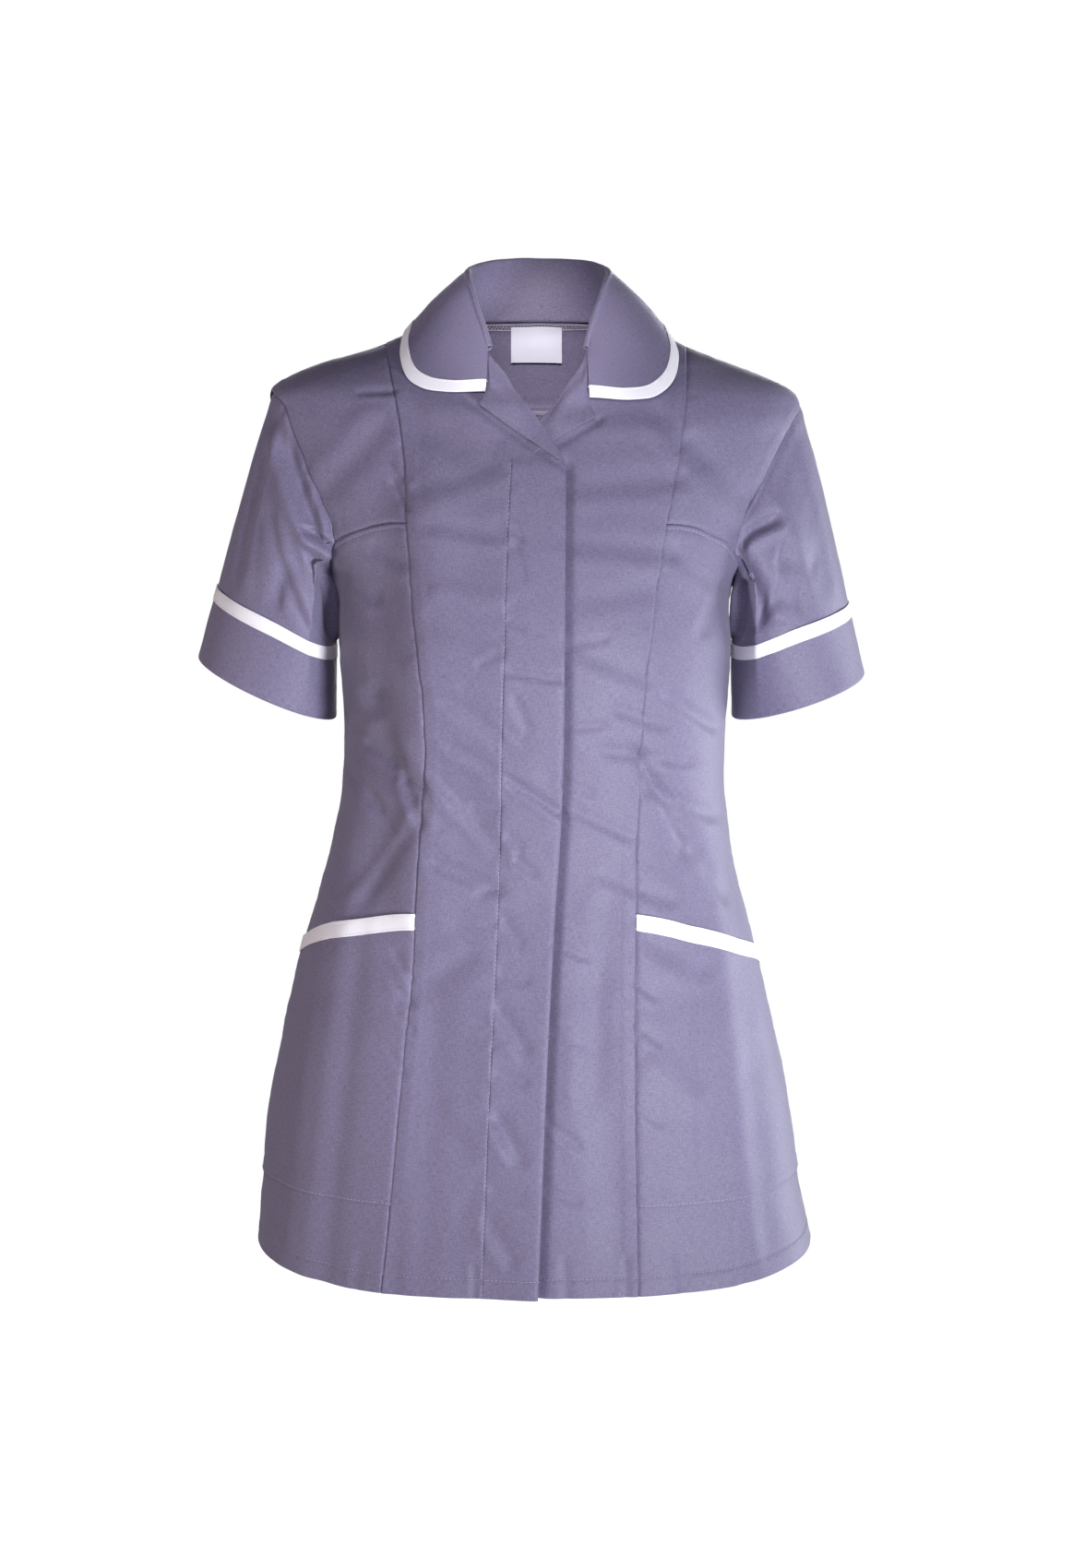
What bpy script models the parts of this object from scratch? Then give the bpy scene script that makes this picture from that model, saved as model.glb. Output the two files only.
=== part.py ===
"""Short-sleeved work tunic, filled out as when worn, with nobody in it.

Every cut piece of cloth is a thin wall of its own. The body pieces lie on one stack of rings, the
sleeves run from the armhole loops to the cuff rings, and the collar is lofted from sections that
start on the neck seam. Front is -Y, up is +Z, and the origin lies midway between the shoulders at
the height of the neck points. Sizes are in millimetres and angles in degrees until the meshes are
made. "Right" and "left" are the wearer's, so right is -X. The right front laps over the left.
"""

import math

import bpy
import numpy as np

MM = 0.001

# Cloth walls, and the clearances between layers and at seams
PANEL_WALL = 1.2
LAYER_WALL = 1.0
LAYER_GAP = 0.35
SEAM_GAP = 0.3
UNDERARM_GAP = 0.9

# Driving sizes of the garment
NECK_SIDE_Z = 3
BACK_NECK_Z = 7
BACK_NECK_SQUARENESS = 0.7
HEM_SIDE_Z = -682
HEM_DIP = 15.5
FLY_LIFT = 3.8
FLY_WIDTH = 41
FLY_RISES_OVER = 20
UNDERLAP = 36
COLLAR_TAPE = 9.7
CUFF_TAPE = 10.5
CUFF_DEPTH = 60.5
REVER_LIFT = 0.45
REVER_OVER_FLY = 1.2
REVER_SHORT = 0.1
COLLAR_LIFT = 1.7
COLLAR_ROLL = 1.4
COLLAR_FOOT_GAP = 0.5
COLLAR_FADE_Z = (-42, -60)
YOKE_CENTRE_Z = -60
YOKE_ARMHOLE_Z = -98
LABEL = {"width": 39, "top": 5, "bottom": -21, "lift": -2.7}

# Rings of the body: height, half width on the wearer's right and left, depth in front and behind
BODY_RINGS = {
    "z": (11, 4, 0, -10, -26, -42, -58, -80, -110, -140, -165, -188, -232, -290, -343, -399, -455,
          -511, -568, -638, -700),
    "right": (60, 76, 90, 114, 163, 194, 195, 190, 181, 168, 156, 148.3, 146.7, 143.5, 146, 158.8,
              174.5, 187.4, 198.6, 206, 212.5),
    "left": (58, 74, 86, 107, 149, 187, 196, 192, 183, 169, 155, 145.6, 143.9, 140.8, 140.5, 149.1,
             163, 176.4, 187.8, 199.8, 212),
    "front": (28, 35, 38, 45, 57, 69, 79, 88, 100, 110, 117, 122, 126, 120, 112, 110, 113, 117, 120,
              123, 125),
    "back": (53, 58, 60, 64, 72, 79, 85, 91, 97, 101, 102, 101.5, 97, 88, 86, 96, 106, 112, 115, 117,
             119),
}
ROUND_ABOVE_Z = -60
SQUARER_BELOW_Z = -260
SQUARER_BY = 0.3
SHOULDERS_BETWEEN_Z = (-58, 10)
BODY_HALF_WIDTH = 150

# Seams and edges seen from the front or behind: distance across (x) and height (z)
PRINCESS_RIGHT = {
    "x": (-113, -107, -100, -95, -88, -83, -79.5, -77.5, -80, -85, -91.5, -95, -99, -106, -110),
    "z": (-698, -641, -565, -511, -442, -381, -325, -290, -244, -206, -138, -94, -64, -29, -8.6),
}
PRINCESS_LEFT = {
    "x": (74, 73, 72, 72, 72, 74, 76.5, 81, 85, 93.5, 103, 107, 110),
    "z": (-698, -619, -558, -418, -374, -332, -270, -225, -191, -138, -87, -57, -11.1),
}
FLY_EDGE = {"x": (1, 10, 12, 18, 20, 21), "z": (-698, -477, -440, -344, -223, -96)}
ROLL_RIGHT = {"x": (21, 12, 2, -5, -14, -26, -34.5), "z": (-96, -80, -66, -58, -47, -28, -15)}
ROLL_LEFT = {"x": (-16, -8, 2, 9, 26, 36), "z": (-96, -80, -64, -58, -35, -15)}
BUST_RIGHT = {"x": (-147, -142, -130, -114, -102, -91.5), "z": (-153, -150, -144, -139, -137.5, -138)}
BUST_LEFT = {"x": (93.5, 106, 118, 127, 137, 144), "z": (-138, -139, -142, -147, -152, -161)}
ARMHOLE_RIGHT = {
    "x": (-147, -150, -157, -167, -178, -185.5),
    "z": (-153, -139, -122, -98, -72, -52),
}
ARMHOLE_LEFT = {"x": (144, 149, 159, 170, 179, 188), "z": (-161, -139, -122, -98, -81, -66)}
ARMHOLE_BACK_RIGHT = {
    "x": (-148, -150, -156, -165, -174),
    "z": (-174, -160, -142, -120, YOKE_ARMHOLE_Z),
}
ARMHOLE_BACK_LEFT = {
    "x": (145.3, 148, 155, 166, 176),
    "z": (-175, -160, -142, -120, YOKE_ARMHOLE_Z),
}
SHOULDER_TIP_Z = {"right": -41, "left": -53}
ARMPIT_Z = {"right": -185, "left": -187}

# Revers: the free edge from the break up to the point, and the gorge seam from there to the roll
REVER_RIGHT_EDGE = {"x": (18.5, 9, -14, -42), "z": (-95, -89, -74, -55)}
REVER_RIGHT_GORGE = {"x": (-41.5, -34.8, -33), "z": (-55, -44, -17)}
REVER_LEFT_EDGE = {"x": (-12, 12, 25, 42), "z": (-94.5, -80, -72, -63)}
REVER_LEFT_GORGE = {"x": (41.5, 36, 34.5), "z": (-63, -46.5, -17)}

# Height of each cross row on the princess seams and on the side seams, and the rows up to the next
ROW_LEVELS = {
    "name": ("hem", "pocket bottom", "tape bottom", "pocket mouth", "waist", "bust seam"),
    "princess": (None, -619, -431, -419, -325, -138),
    "right side": (None, -617, -463, -451, -325, None),
    "left side": (None, -615, -472, -460, -325, None),
    "rows": (3, 8, 1, 4, 8, 0),
}
UPPER_ROWS = {"bust to break": 2, "roll line": 4, "front neck": 2}
COLUMNS = {"front": 7, "bust seam": 4, "under armhole": 4, "half back neck": 5}
ARMHOLE_BACK_ROWS = 5
YOKE_ROWS = 4
YOKE_COLUMNS_FOLLOW_TOP = 0.5
EVENING_STEPS = 30

# Small steps for slopes of the surface: an angle in radians and a height
SMALL_TURN = 0.002
SMALL_RISE = 0.2

# Largest folds of the body: both ends, half width and depth of each soft trough, and its side
FOLDS = {
    "x": (-134, -118, -76, -66, -70, 76, -104, 60, -60, 95, -95, 20),
    "z": (-300, -262, -300, -352, -384, -312, -352, -300, -300, -300, -330, -250),
    "to_x": (-84, -104, -36, -34, -36, 110, -128, 10, -20, 50, -55, 80),
    "to_z": (-328, -308, -344, -376, -402, -372, -392, -314, -318, -335, -352, -285),
    "width": (13, 10, 11, 9, 8, 11, 14, 12, 12, 13, 12, 15),
    "depth": (5, 2.5, 2.2, 1.6, 1.3, 3, 2.5, 1.2, 2.5, 3, 3, 2),
    "side": ("front",) * 8 + ("back",) * 4,
}

# Sleeves: the cuff ring's middle, its half chord and its half depth, and how each side leaves the
# armhole. Around a sleeve, 0 is the outer line, 90 the front, 180 under the arm and 270 the back.
CUFF_RINGS = {
    "right": {"middle": (-203, 30, -265.5), "outward": (-51.2, 0, 22.8), "forward": (0, -54, -5)},
    "left": {"middle": (197, 30, -271.5), "outward": (49.4, 0, 16), "forward": (0, -54, -5)},
}
SLEEVE_ROWS_ABOVE_CUFF = 7
SLEEVE_LEAVES = {"outer": (0.32, 0.12, -0.94), "front": (0.72, -0.12, -0.68),
                 "under": (0.0, 0.2, -0.98), "back": (0.72, 0.3, -0.62)}
SLEEVE_EASE = {"at armhole": 0.34, "at cuff": 0.3}
SLEEVE_LENGTH = 210
SLEEVE_MM_PER_DEGREE = 1.0
SLEEVE_FOLD_FADE = 0.12
SLEEVE_PLAIN_BELOW = 0.74
SLEEVE_FOLDS = {
    "sleeve": ("right", "right", "left", "left"),
    "around": (150, 118, 142, 95),
    "down": (0.1, 0.25, 0.14, 0.12),
    "to_around": (105, 75, 128, 80),
    "to_down": (0.3, 0.7, 0.42, 0.5),
    "width": (10, 14, 10, 13),
    "depth": (3.5, 1.5, 4.5, 2),
}

# Collar sections from one gorge to the other: place along the neck seam, the roll line, and the
# outer edge as seen from above, where it lies on the body
COLLAR_SECTIONS = {
    "neck": (0, 0.06, 0.1, 0.13, 0.17, 0.22, 0.29, 0.38, 0.5, 0.62, 0.71, 0.78, 0.83, 0.87, 0.9, 0.94, 1),
    "roll_x": (-34.3, -39, -42.5, -45.5, -49, -51, -48, -34, 0, 36, 50, 53.5, 50.5, 47, 43.5, 40, 35.8),
    "roll_y": (-47.5, -35, -26, -17, -5, 10, 30, 52, 62, 52, 30, 10, -5, -17, -26, -35, -47.5),
    "roll_z": (-12.5, 3, 13, 23, 34, 41, 46, 51, 53, 51, 46.5, 41.5, 34, 23, 13, 3, -12.5),
    "edge_x": (-36.5, -66, -83, -92.5, -98, -96, -90, -68, 0, 68, 92, 99, 102, 97, 87, 69, 38),
    "edge_y": (-70, -67, -62.5, -56, -40, -10, 26, 56, 68, 56, 26, -10, -40, -57, -65, -70, -72.5),
}
COLLAR_COLUMNS = 36
STAND_ROWS = 3
FALL_ROWS = 4
STAND_BOW = 0.06
FALL_BOW = 0.05

CLOTH_COLOUR = (0.275, 0.245, 0.36, 1)
TAPE_COLOUR = (0.84, 0.84, 0.88, 1)
LABEL_COLOUR = (0.75, 0.74, 0.76, 1)


def spline(at, knots, values):
    """Smooth curve through values at rising knots, read at the given places."""
    at, knots, values = np.asarray(at, float), np.asarray(knots, float), np.asarray(values, float)
    slopes = np.gradient(values, knots, axis=0)
    left = np.clip(np.searchsorted(knots, at) - 1, 0, len(knots) - 2)
    span = knots[left + 1] - knots[left]
    t = (at - knots[left]) / span
    if values.ndim > 1:
        t, span = t[..., None], span[..., None]
    return (
        (1 + 2 * t) * (1 - t) ** 2 * values[left]
        + t * (1 - t) ** 2 * span * slopes[left]
        + t * t * (3 - 2 * t) * values[left + 1]
        + t * t * (t - 1) * span * slopes[left + 1]
    )


def smoothstep(t):
    t = np.clip(t, 0, 1)
    return t * t * (3 - 2 * t)


def unit(vectors):
    return vectors / np.maximum(np.linalg.norm(vectors, axis=-1, keepdims=True), 1e-9)


def trough(across, along, width, depth):
    """Soft trough with round ends: distances from its line, and 0 to 1 between its ends."""
    past_end = np.maximum(np.maximum(-along, along - 1), 0)
    return -depth * np.exp(-((across / width) ** 2)) * smoothstep(1 - 4 * past_end)


# ---------------------------------------------------------------- the body's surface


def ring(z):
    """Half widths on the right and left, depths in front and behind, and roundness of a ring."""
    heights = BODY_RINGS["z"][::-1]
    sizes = [spline(z, heights, BODY_RINGS[side][::-1]) for side in ("right", "left", "front", "back")]
    squarer = smoothstep((ROUND_ABOVE_Z - z) / (ROUND_ABOVE_Z - SQUARER_BELOW_Z))
    return (*sizes, 2 + SQUARER_BY * squarer)


def plain_body(angle, z):
    """Point of the body's smooth form. The angle runs from the front centre towards +X."""
    right, left, front, back, power = ring(z)
    across, ahead = np.sin(angle), np.cos(angle)
    width = np.where(across < 0, right, left)
    depth = np.where(ahead > 0, front, back)
    x = width * np.sign(across) * np.abs(across) ** (2 / power)
    y = -depth * np.sign(ahead) * np.abs(ahead) ** (2 / power)
    return np.stack(np.broadcast_arrays(x, y, z), -1)


def body_slopes(angle, z):
    """How the body's smooth form runs on with the angle and with the height."""
    around = plain_body(angle + SMALL_TURN, z) - plain_body(angle - SMALL_TURN, z)
    upward = plain_body(angle, z + SMALL_RISE) - plain_body(angle, z - SMALL_RISE)
    return around / (2 * SMALL_TURN), upward / (2 * SMALL_RISE)


def body_normal(angle, z):
    around, upward = body_slopes(angle, z)
    return unit(np.cross(around, upward))


def body_folds(point):
    """How far the largest folds move the body's surface outwards."""
    x, y, z = point[..., 0], point[..., 1], point[..., 2]
    total = np.zeros_like(x)
    for x0, z0, x1, z1, width, depth, side in zip(*FOLDS.values()):
        run, rise = x1 - x0, z1 - z0
        length = math.hypot(run, rise)
        along = ((x - x0) * run + (z - z0) * rise) / length**2
        across = ((x - x0) * rise - (z - z0) * run) / length
        this_side = smoothstep((-y if side == "front" else y) / 20)
        total = total + trough(across, along, width, depth) * this_side
    return total


def body_point(angle, z, lift=0.0):
    point = plain_body(angle, z)
    raised = np.asarray(body_folds(point) + lift)
    return point + body_normal(angle, z) * raised[..., None]


def angle_at(x, z, behind=False):
    """Angle of the body's point at a distance across, in front or behind."""
    right, left, _, _, power = ring(np.asarray(z, float))
    share = np.clip(np.abs(x) / np.where(np.asarray(x) < 0, right, left), 0, 1)
    angle = np.sign(x) * np.arcsin(share ** (power / 2))
    return np.where(behind, np.pi - angle, angle)


def height_over(x, y):
    """Height of the body's shoulders over a place seen from above."""
    low, high = np.full_like(x, SHOULDERS_BETWEEN_Z[0]), np.full_like(x, SHOULDERS_BETWEEN_Z[1])
    for _ in range(30):
        z = (low + high) / 2
        right, left, front, back, power = ring(z)
        across = np.abs(x) / np.where(x < 0, right, left)
        ahead = np.abs(y) / np.where(y < 0, front, back)
        outside = across**power + ahead**power > 1
        low, high = np.where(outside, low, z), np.where(outside, z, high)
    return (low + high) / 2


# ---------------------------------------------------------------- seams


def travelled(points):
    """Distance along a line of points, at each of them."""
    return np.concatenate([[0], np.cumsum(np.linalg.norm(np.diff(points, axis=0), axis=1))])


def sampled(points, count, places=None):
    """count + 1 points of (angle, z) on a smooth curve through the given ones, evenly spaced or at
    the given places between 0 and 1."""
    points = np.asarray(points, float)
    knots = travelled(plain_body(points[:, 0], points[:, 1]))
    fine = np.linspace(0, knots[-1], 40 * count + 1)
    if len(points) > 2:
        curve = spline(fine, knots, points)
    else:
        curve = points[0] + (points[1] - points[0]) * (fine / knots[-1])[:, None]
    length = travelled(plain_body(curve[:, 0], curve[:, 1]))
    if places is None:
        places = np.linspace(0, 1, count + 1)
    return np.stack([np.interp(places * length[-1], length, curve[:, k]) for k in (0, 1)], 1)


def on_surface(table, behind=False):
    x, z = (np.asarray(table[key], float) for key in ("x", "z"))
    return np.stack([angle_at(x, z, behind), z], 1)


def joined(*stretches):
    """Stretches of one edge, end to end, without repeating the points where they meet."""
    return np.concatenate([stretches[0]] + [stretch[1:] for stretch in stretches[1:]])


def across_at(table, z):
    return spline(z, table["z"], table["x"])


def hem_z(angle):
    return HEM_SIDE_Z - HEM_DIP * (1 - np.sin(angle) ** 4)


def level_rows(table, levels):
    """Points of a vertical seam, with its rows evenly spaced between named levels."""
    z_at_hem = hem_z(angle_at(across_at(table, HEM_SIDE_Z), HEM_SIDE_Z))
    levels = [z_at_hem if level is None else level for level in levels]
    heights = [np.linspace(low, high, count + 1)
               for low, high, count in zip(levels, levels[1:], ROW_LEVELS["rows"])]
    z = joined(*heights)
    return np.stack([angle_at(across_at(table, z), z), z], 1)


def side_rows(angle, side):
    levels = [HEM_SIDE_Z, *ROW_LEVELS[side + " side"][1:-1], ARMPIT_Z[side]]
    heights = [np.linspace(low, high, count + 1)
               for low, high, count in zip(levels, levels[1:], ROW_LEVELS["rows"])]
    z = joined(*heights)
    return np.stack([np.full_like(z, angle), z], 1)


def hem_between(start, end, count):
    angles = sampled([(start, HEM_SIDE_Z), (end, HEM_SIDE_Z)], count)[:, 0]
    return np.stack([angles, hem_z(angles)], 1)


def patch(bottom, top, left, right):
    """Grid of (angle, z) filled in between four edges, rows from the bottom up."""
    u = np.linspace(0, 1, len(bottom))[None, :, None]
    v = np.linspace(0, 1, len(left))[:, None, None]
    rows = (1 - v) * bottom[None] + v * top[None]
    columns = (1 - u) * left[:, None] + u * right[:, None]
    corners = ((1 - u) * (1 - v) * bottom[0] + u * (1 - v) * bottom[-1]
               + (1 - u) * v * top[0] + u * v * top[-1])
    return rows + columns - corners


def evened(grid):
    """The same patch with its inner points spread evenly in space, for pieces round a shoulder."""
    edges = plain_body(grid[..., 0], grid[..., 1])
    wanted = patch(edges[0], edges[-1], edges[:, 0], edges[:, -1])[1:-1, 1:-1]
    angle, z = grid[1:-1, 1:-1, 0].copy(), grid[1:-1, 1:-1, 1].copy()
    for _ in range(EVENING_STEPS):
        miss = wanted - plain_body(angle, z)
        around, upward = body_slopes(angle, z)
        aa, uu, au = (np.sum(p * q, -1) for p, q in ((around, around), (upward, upward), (around, upward)))
        am, um = np.sum(around * miss, -1), np.sum(upward * miss, -1)
        spread = np.maximum(aa * uu - au * au, 1e-6)
        angle = angle + np.clip((uu * am - au * um) / spread, -0.05, 0.05)
        z = z + np.clip((aa * um - au * am) / spread, -3, 3)
    result = grid.copy()
    result[1:-1, 1:-1] = np.stack([angle, z], -1)
    return result


# ---------------------------------------------------------------- walls of cloth


def grid_normals(grid, closed=False):
    """Normals of a grid of points, towards the side where columns and rows turn to the left."""
    if closed:
        around = np.roll(grid, -1, 1) - np.roll(grid, 1, 1)
    else:
        around = np.gradient(grid, axis=1)
    return unit(np.cross(around, np.gradient(grid, axis=0)))


def edges_drawn_in(outer, closed=False):
    """Moves that take half of the seam gap off each edge of a grid."""
    moves = np.zeros_like(outer)

    def inward(edge, beside):
        if closed:
            along = unit(np.roll(edge, -1, 0) - np.roll(edge, 1, 0))
        else:
            along = unit(np.gradient(edge, axis=0))
        step = beside - edge
        return SEAM_GAP / 2 * unit(step - along * np.sum(step * along, 1, keepdims=True))

    moves[0] += inward(outer[0], outer[1])
    moves[-1] += inward(outer[-1], outer[-2])
    if not closed:
        moves[:, 0] += inward(outer[:, 0], outer[:, 1])
        moves[:, -1] += inward(outer[:, -1], outer[:, -2])
    return moves


def wall(name, outer, inner, material, closed=False, shorter=False):
    """One piece of cloth: the solid between two grids of points. Each square is cut along the same
    diagonal on both faces, and with shorter along the shorter one."""
    moves = edges_drawn_in(outer, closed)
    rows, columns = outer.shape[:2]
    points = np.concatenate([(outer + moves).reshape(-1, 3), (inner + moves).reshape(-1, 3)]) * MM
    count = rows * columns

    def corner(row, column, layer):
        return layer * count + row * columns + column % columns

    faces = []

    def square(a, b, c, d):
        faces.extend([(a, b, c), (a, c, d)])

    for row in range(rows - 1):
        for column in range(columns if closed else columns - 1):
            cell = [(row, column), (row, column + 1), (row + 1, column + 1), (row + 1, column)]
            a, b, c, d = (points[corner(*place, 0)] for place in cell)
            if shorter and np.linalg.norm(b - d) < np.linalg.norm(a - c):
                cell = cell[1:] + cell[:1]
            a, b, c, d = (corner(*place, 0) for place in cell)
            square(a, b, c, d)
            a, b, c, d = (corner(*place, 1) for place in cell)
            faces.extend([(c, b, a), (d, c, a)])
    for column in range(columns if closed else columns - 1):
        square(corner(0, column + 1, 0), corner(0, column, 0), corner(0, column, 1), corner(0, column + 1, 1))
        last = rows - 1
        square(corner(last, column, 0), corner(last, column + 1, 0),
               corner(last, column + 1, 1), corner(last, column, 1))
    if not closed:
        for row in range(rows - 1):
            last = columns - 1
            square(corner(row, 0, 0), corner(row + 1, 0, 0), corner(row + 1, 0, 1), corner(row, 0, 1))
            square(corner(row + 1, last, 0), corner(row, last, 0),
                   corner(row, last, 1), corner(row + 1, last, 1))

    triangles = points[np.array(faces)]
    if np.linalg.det(triangles).sum() < 0:
        faces = [face[::-1] for face in faces]
    mesh = bpy.data.meshes.new(name)
    mesh.from_pydata(points.tolist(), [], faces)
    mesh.materials.append(material)
    mesh.shade_smooth()
    mesh.set_sharp_from_angle(angle=math.radians(50))
    piece = bpy.data.objects.new(name, mesh)
    tunic.objects.link(piece)


def panel(name, grid, material, lift=0.0, thickness=PANEL_WALL, directions=None, shorter=False):
    """A piece that lies on the body's surface, its outer face at a height (lift) above it."""
    angle, z = grid[..., 0], grid[..., 1]
    outer = body_point(angle, z, lift)
    if directions is None:
        directions = body_normal(angle, z)
    wall(name, outer, outer - thickness * directions, material, shorter=shorter)


def finish(name, colour, roughness):
    material = bpy.data.materials.new(name)
    material.use_nodes = True
    shader = material.node_tree.nodes["Principled BSDF"]
    shader.inputs["Base Color"].default_value = colour
    shader.inputs["Roughness"].default_value = roughness
    material.diffuse_color = colour
    return material


# ---------------------------------------------------------------- edges that pieces share


def same_turn(points):
    """The same points with their angles one turn further round, for the seams behind."""
    return points + np.array([2 * math.pi, 0])


def body_edges():
    """Every seam and edge of the body, as points of (angle, z) that both of its sides use."""
    half_turn = math.pi
    quarter = math.pi / 2
    edge = {}
    edge["princess right"] = level_rows(PRINCESS_RIGHT, ROW_LEVELS["princess"])
    edge["princess left"] = level_rows(PRINCESS_LEFT, ROW_LEVELS["princess"])
    upper_rows = sum(UPPER_ROWS.values())
    for side, table in (("right", PRINCESS_RIGHT), ("left", PRINCESS_LEFT)):
        z = np.linspace(ROW_LEVELS["princess"][-1], table["z"][-1], upper_rows + 1)
        edge["upper princess " + side] = np.stack([angle_at(across_at(table, z), z), z], 1)
        edge["upper princess " + side][-1, 0] = -quarter if side == "right" else quarter
    edge["side right"] = side_rows(-quarter, "right")
    edge["side left"] = side_rows(quarter, "left")

    under = {"x": [x - UNDERLAP for x in FLY_EDGE["x"]], "z": FLY_EDGE["z"]}
    under["x"][-1] = ROLL_LEFT["x"][0]
    for side, front, roll in (("right", FLY_EDGE, ROLL_RIGHT), ("left", under, ROLL_LEFT)):
        edge["front edge " + side] = level_rows(front, ROW_LEVELS["princess"])
        corner = edge["front edge " + side][-1]
        roll_points = on_surface(roll)
        break_point = roll_points[0]
        neck_side = (-quarter if side == "right" else quarter, NECK_SIDE_Z)
        edge["above bust " + side] = sampled([corner, break_point], UPPER_ROWS["bust to break"])
        edge["roll " + side] = sampled(roll_points, UPPER_ROWS["roll line"])
        edge["front neck " + side] = sampled([roll_points[-1], neck_side], UPPER_ROWS["front neck"])

    for side, sign in (("right", -1), ("left", 1)):
        angle = sign * quarter
        tip = (angle, SHOULDER_TIP_Z[side])
        armpit = (angle, ARMPIT_Z[side])
        princess_top = edge["upper princess " + side][-1]
        edge["outer shoulder " + side] = sampled([tip, princess_top], COLUMNS["bust seam"])
        edge["inner shoulder " + side] = sampled([princess_top, (angle, NECK_SIDE_Z)], COLUMNS["front"])
        front_hole = on_surface(ARMHOLE_RIGHT if side == "right" else ARMHOLE_LEFT)
        back_hole = on_surface(ARMHOLE_BACK_RIGHT if side == "right" else ARMHOLE_BACK_LEFT, True)
        edge["front armhole " + side] = sampled([*front_hole, tip], upper_rows)
        edge["under armhole " + side] = sampled([armpit, front_hole[0]], COLUMNS["under armhole"])
        side_behind = quarter if side == "left" else half_turn + quarter
        armpit_behind = (side_behind, ARMPIT_Z[side])
        tip_behind = (side_behind, SHOULDER_TIP_Z[side])
        edge["back armhole " + side] = sampled([armpit_behind, *back_hole], ARMHOLE_BACK_ROWS)
        edge["yoke armhole " + side] = sampled([back_hole[-1], tip_behind], YOKE_ROWS)
    edge["bust right"] = sampled(on_surface(BUST_RIGHT), COLUMNS["bust seam"])
    edge["bust left"] = sampled(on_surface(BUST_LEFT), COLUMNS["bust seam"])

    rise = BACK_NECK_Z - NECK_SIDE_Z
    turn = np.linspace(quarter, half_turn + quarter, 2 * COLUMNS["half back neck"] + 1)
    neck = np.stack([turn, NECK_SIDE_Z + rise * np.sin(turn - quarter) ** BACK_NECK_SQUARENESS], 1)
    edge["back neck"] = sampled(neck, 2 * COLUMNS["half back neck"])
    edge["yoke top"] = joined(
        edge["outer shoulder left"], edge["inner shoulder left"], edge["back neck"],
        same_turn(edge["inner shoulder right"])[::-1], same_turn(edge["outer shoulder right"])[::-1])

    centre = np.array([half_turn, YOKE_CENTRE_Z])
    left_end, right_end = edge["yoke armhole left"][0], edge["yoke armhole right"][0]
    halfway = [(end + centre) / 2 + (centre - end) * (0, 0.25) for end in (left_end, right_end)]
    along_top = travelled(plain_body(*edge["yoke top"].T))
    even = np.linspace(0, 1, len(along_top))
    places = even + YOKE_COLUMNS_FOLLOW_TOP * (along_top / along_top[-1] - even)
    edge["yoke seam"] = sampled([left_end, halfway[0], centre, halfway[1], right_end], len(even) - 1, places)
    edge["back hem"] = hem_between(quarter, half_turn + quarter, len(even) - 1)
    return edge


# ---------------------------------------------------------------- sleeves


def armhole_loop(edge, side):
    """The armhole from the shoulder tip down the front, under the arm and up behind."""
    front = edge["front armhole " + side][::-1]
    under = edge["under armhole " + side][::-1]
    back = edge["back armhole " + side]
    yoke = edge["yoke armhole " + side]
    return joined(front, under, back, yoke)[:-1], len(front) + len(under) - 2


def sleeve_grid(edge, side):
    """Rows of points from the cuff's fold up to the armhole, columns round from the outer line."""
    loop, armpit = armhole_loop(edge, side)
    seam = body_point(loop[:, 0], loop[:, 1])
    distance = travelled(np.vstack([seam, seam[:1]]))
    front, whole = distance[armpit], distance[-1]
    distance = distance[:-1]
    around = np.where(distance <= front, 180 * distance / front,
                      180 + 180 * (distance - front) / (whole - front))
    turn = np.radians(around)[:, None]
    folded_back = smoothstep(0.3 - 1.6 * np.cos(turn))
    start = seam + UNDERARM_GAP * folded_back * body_normal(loop[:, 0], loop[:, 1])
    cuff = CUFF_RINGS[side]
    middle, outward, forward = (np.array(cuff[key], float) for key in ("middle", "outward", "forward"))
    end = middle + np.cos(turn) * outward + np.sin(turn) * forward

    sign = -1 if side == "right" else 1
    leaves = {key: np.array(value) * (sign, 1, 1) for key, value in SLEEVE_LEAVES.items()}
    outer, front_share = np.clip(np.cos(turn), 0, 1), np.clip(np.sin(turn), 0, 1)
    under, back_share = np.clip(-np.cos(turn), 0, 1), np.clip(-np.sin(turn), 0, 1)
    first = unit(outer**2 * leaves["outer"] + front_share**2 * leaves["front"]
                 + under**2 * leaves["under"] + back_share**2 * leaves["back"])
    straight = end - start
    length = np.linalg.norm(straight, axis=1, keepdims=True)
    near = start + SLEEVE_EASE["at armhole"] * length * first
    far = end - SLEEVE_EASE["at cuff"] * straight

    share = CUFF_DEPTH / length
    tape = CUFF_TAPE / length
    rows = []
    steps = ([1.0, 1 - share / 2 + tape / 2, 1 - share + tape, 1 - share]
             + [(1 - share) * step for step in np.linspace(1, 0, SLEEVE_ROWS_ABOVE_CUFF + 1)[1:]])
    downs = []
    for step in steps:
        t = np.broadcast_to(step, length.shape)
        rows.append((1 - t) ** 3 * start + 3 * t * (1 - t) ** 2 * near
                    + 3 * t * t * (1 - t) * far + t**3 * end)
        downs.append(t[:, 0])
    grid, down = np.array(rows), np.array(downs)
    normals = grid_normals(grid, closed=True)
    if np.sum(normals[0] * (grid[0] - grid[0].mean(0))) < 0:
        normals = -normals
    grid = grid + normals * sleeve_folds(side, around[None, :], down)[..., None]
    return loop, grid, normals


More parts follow.
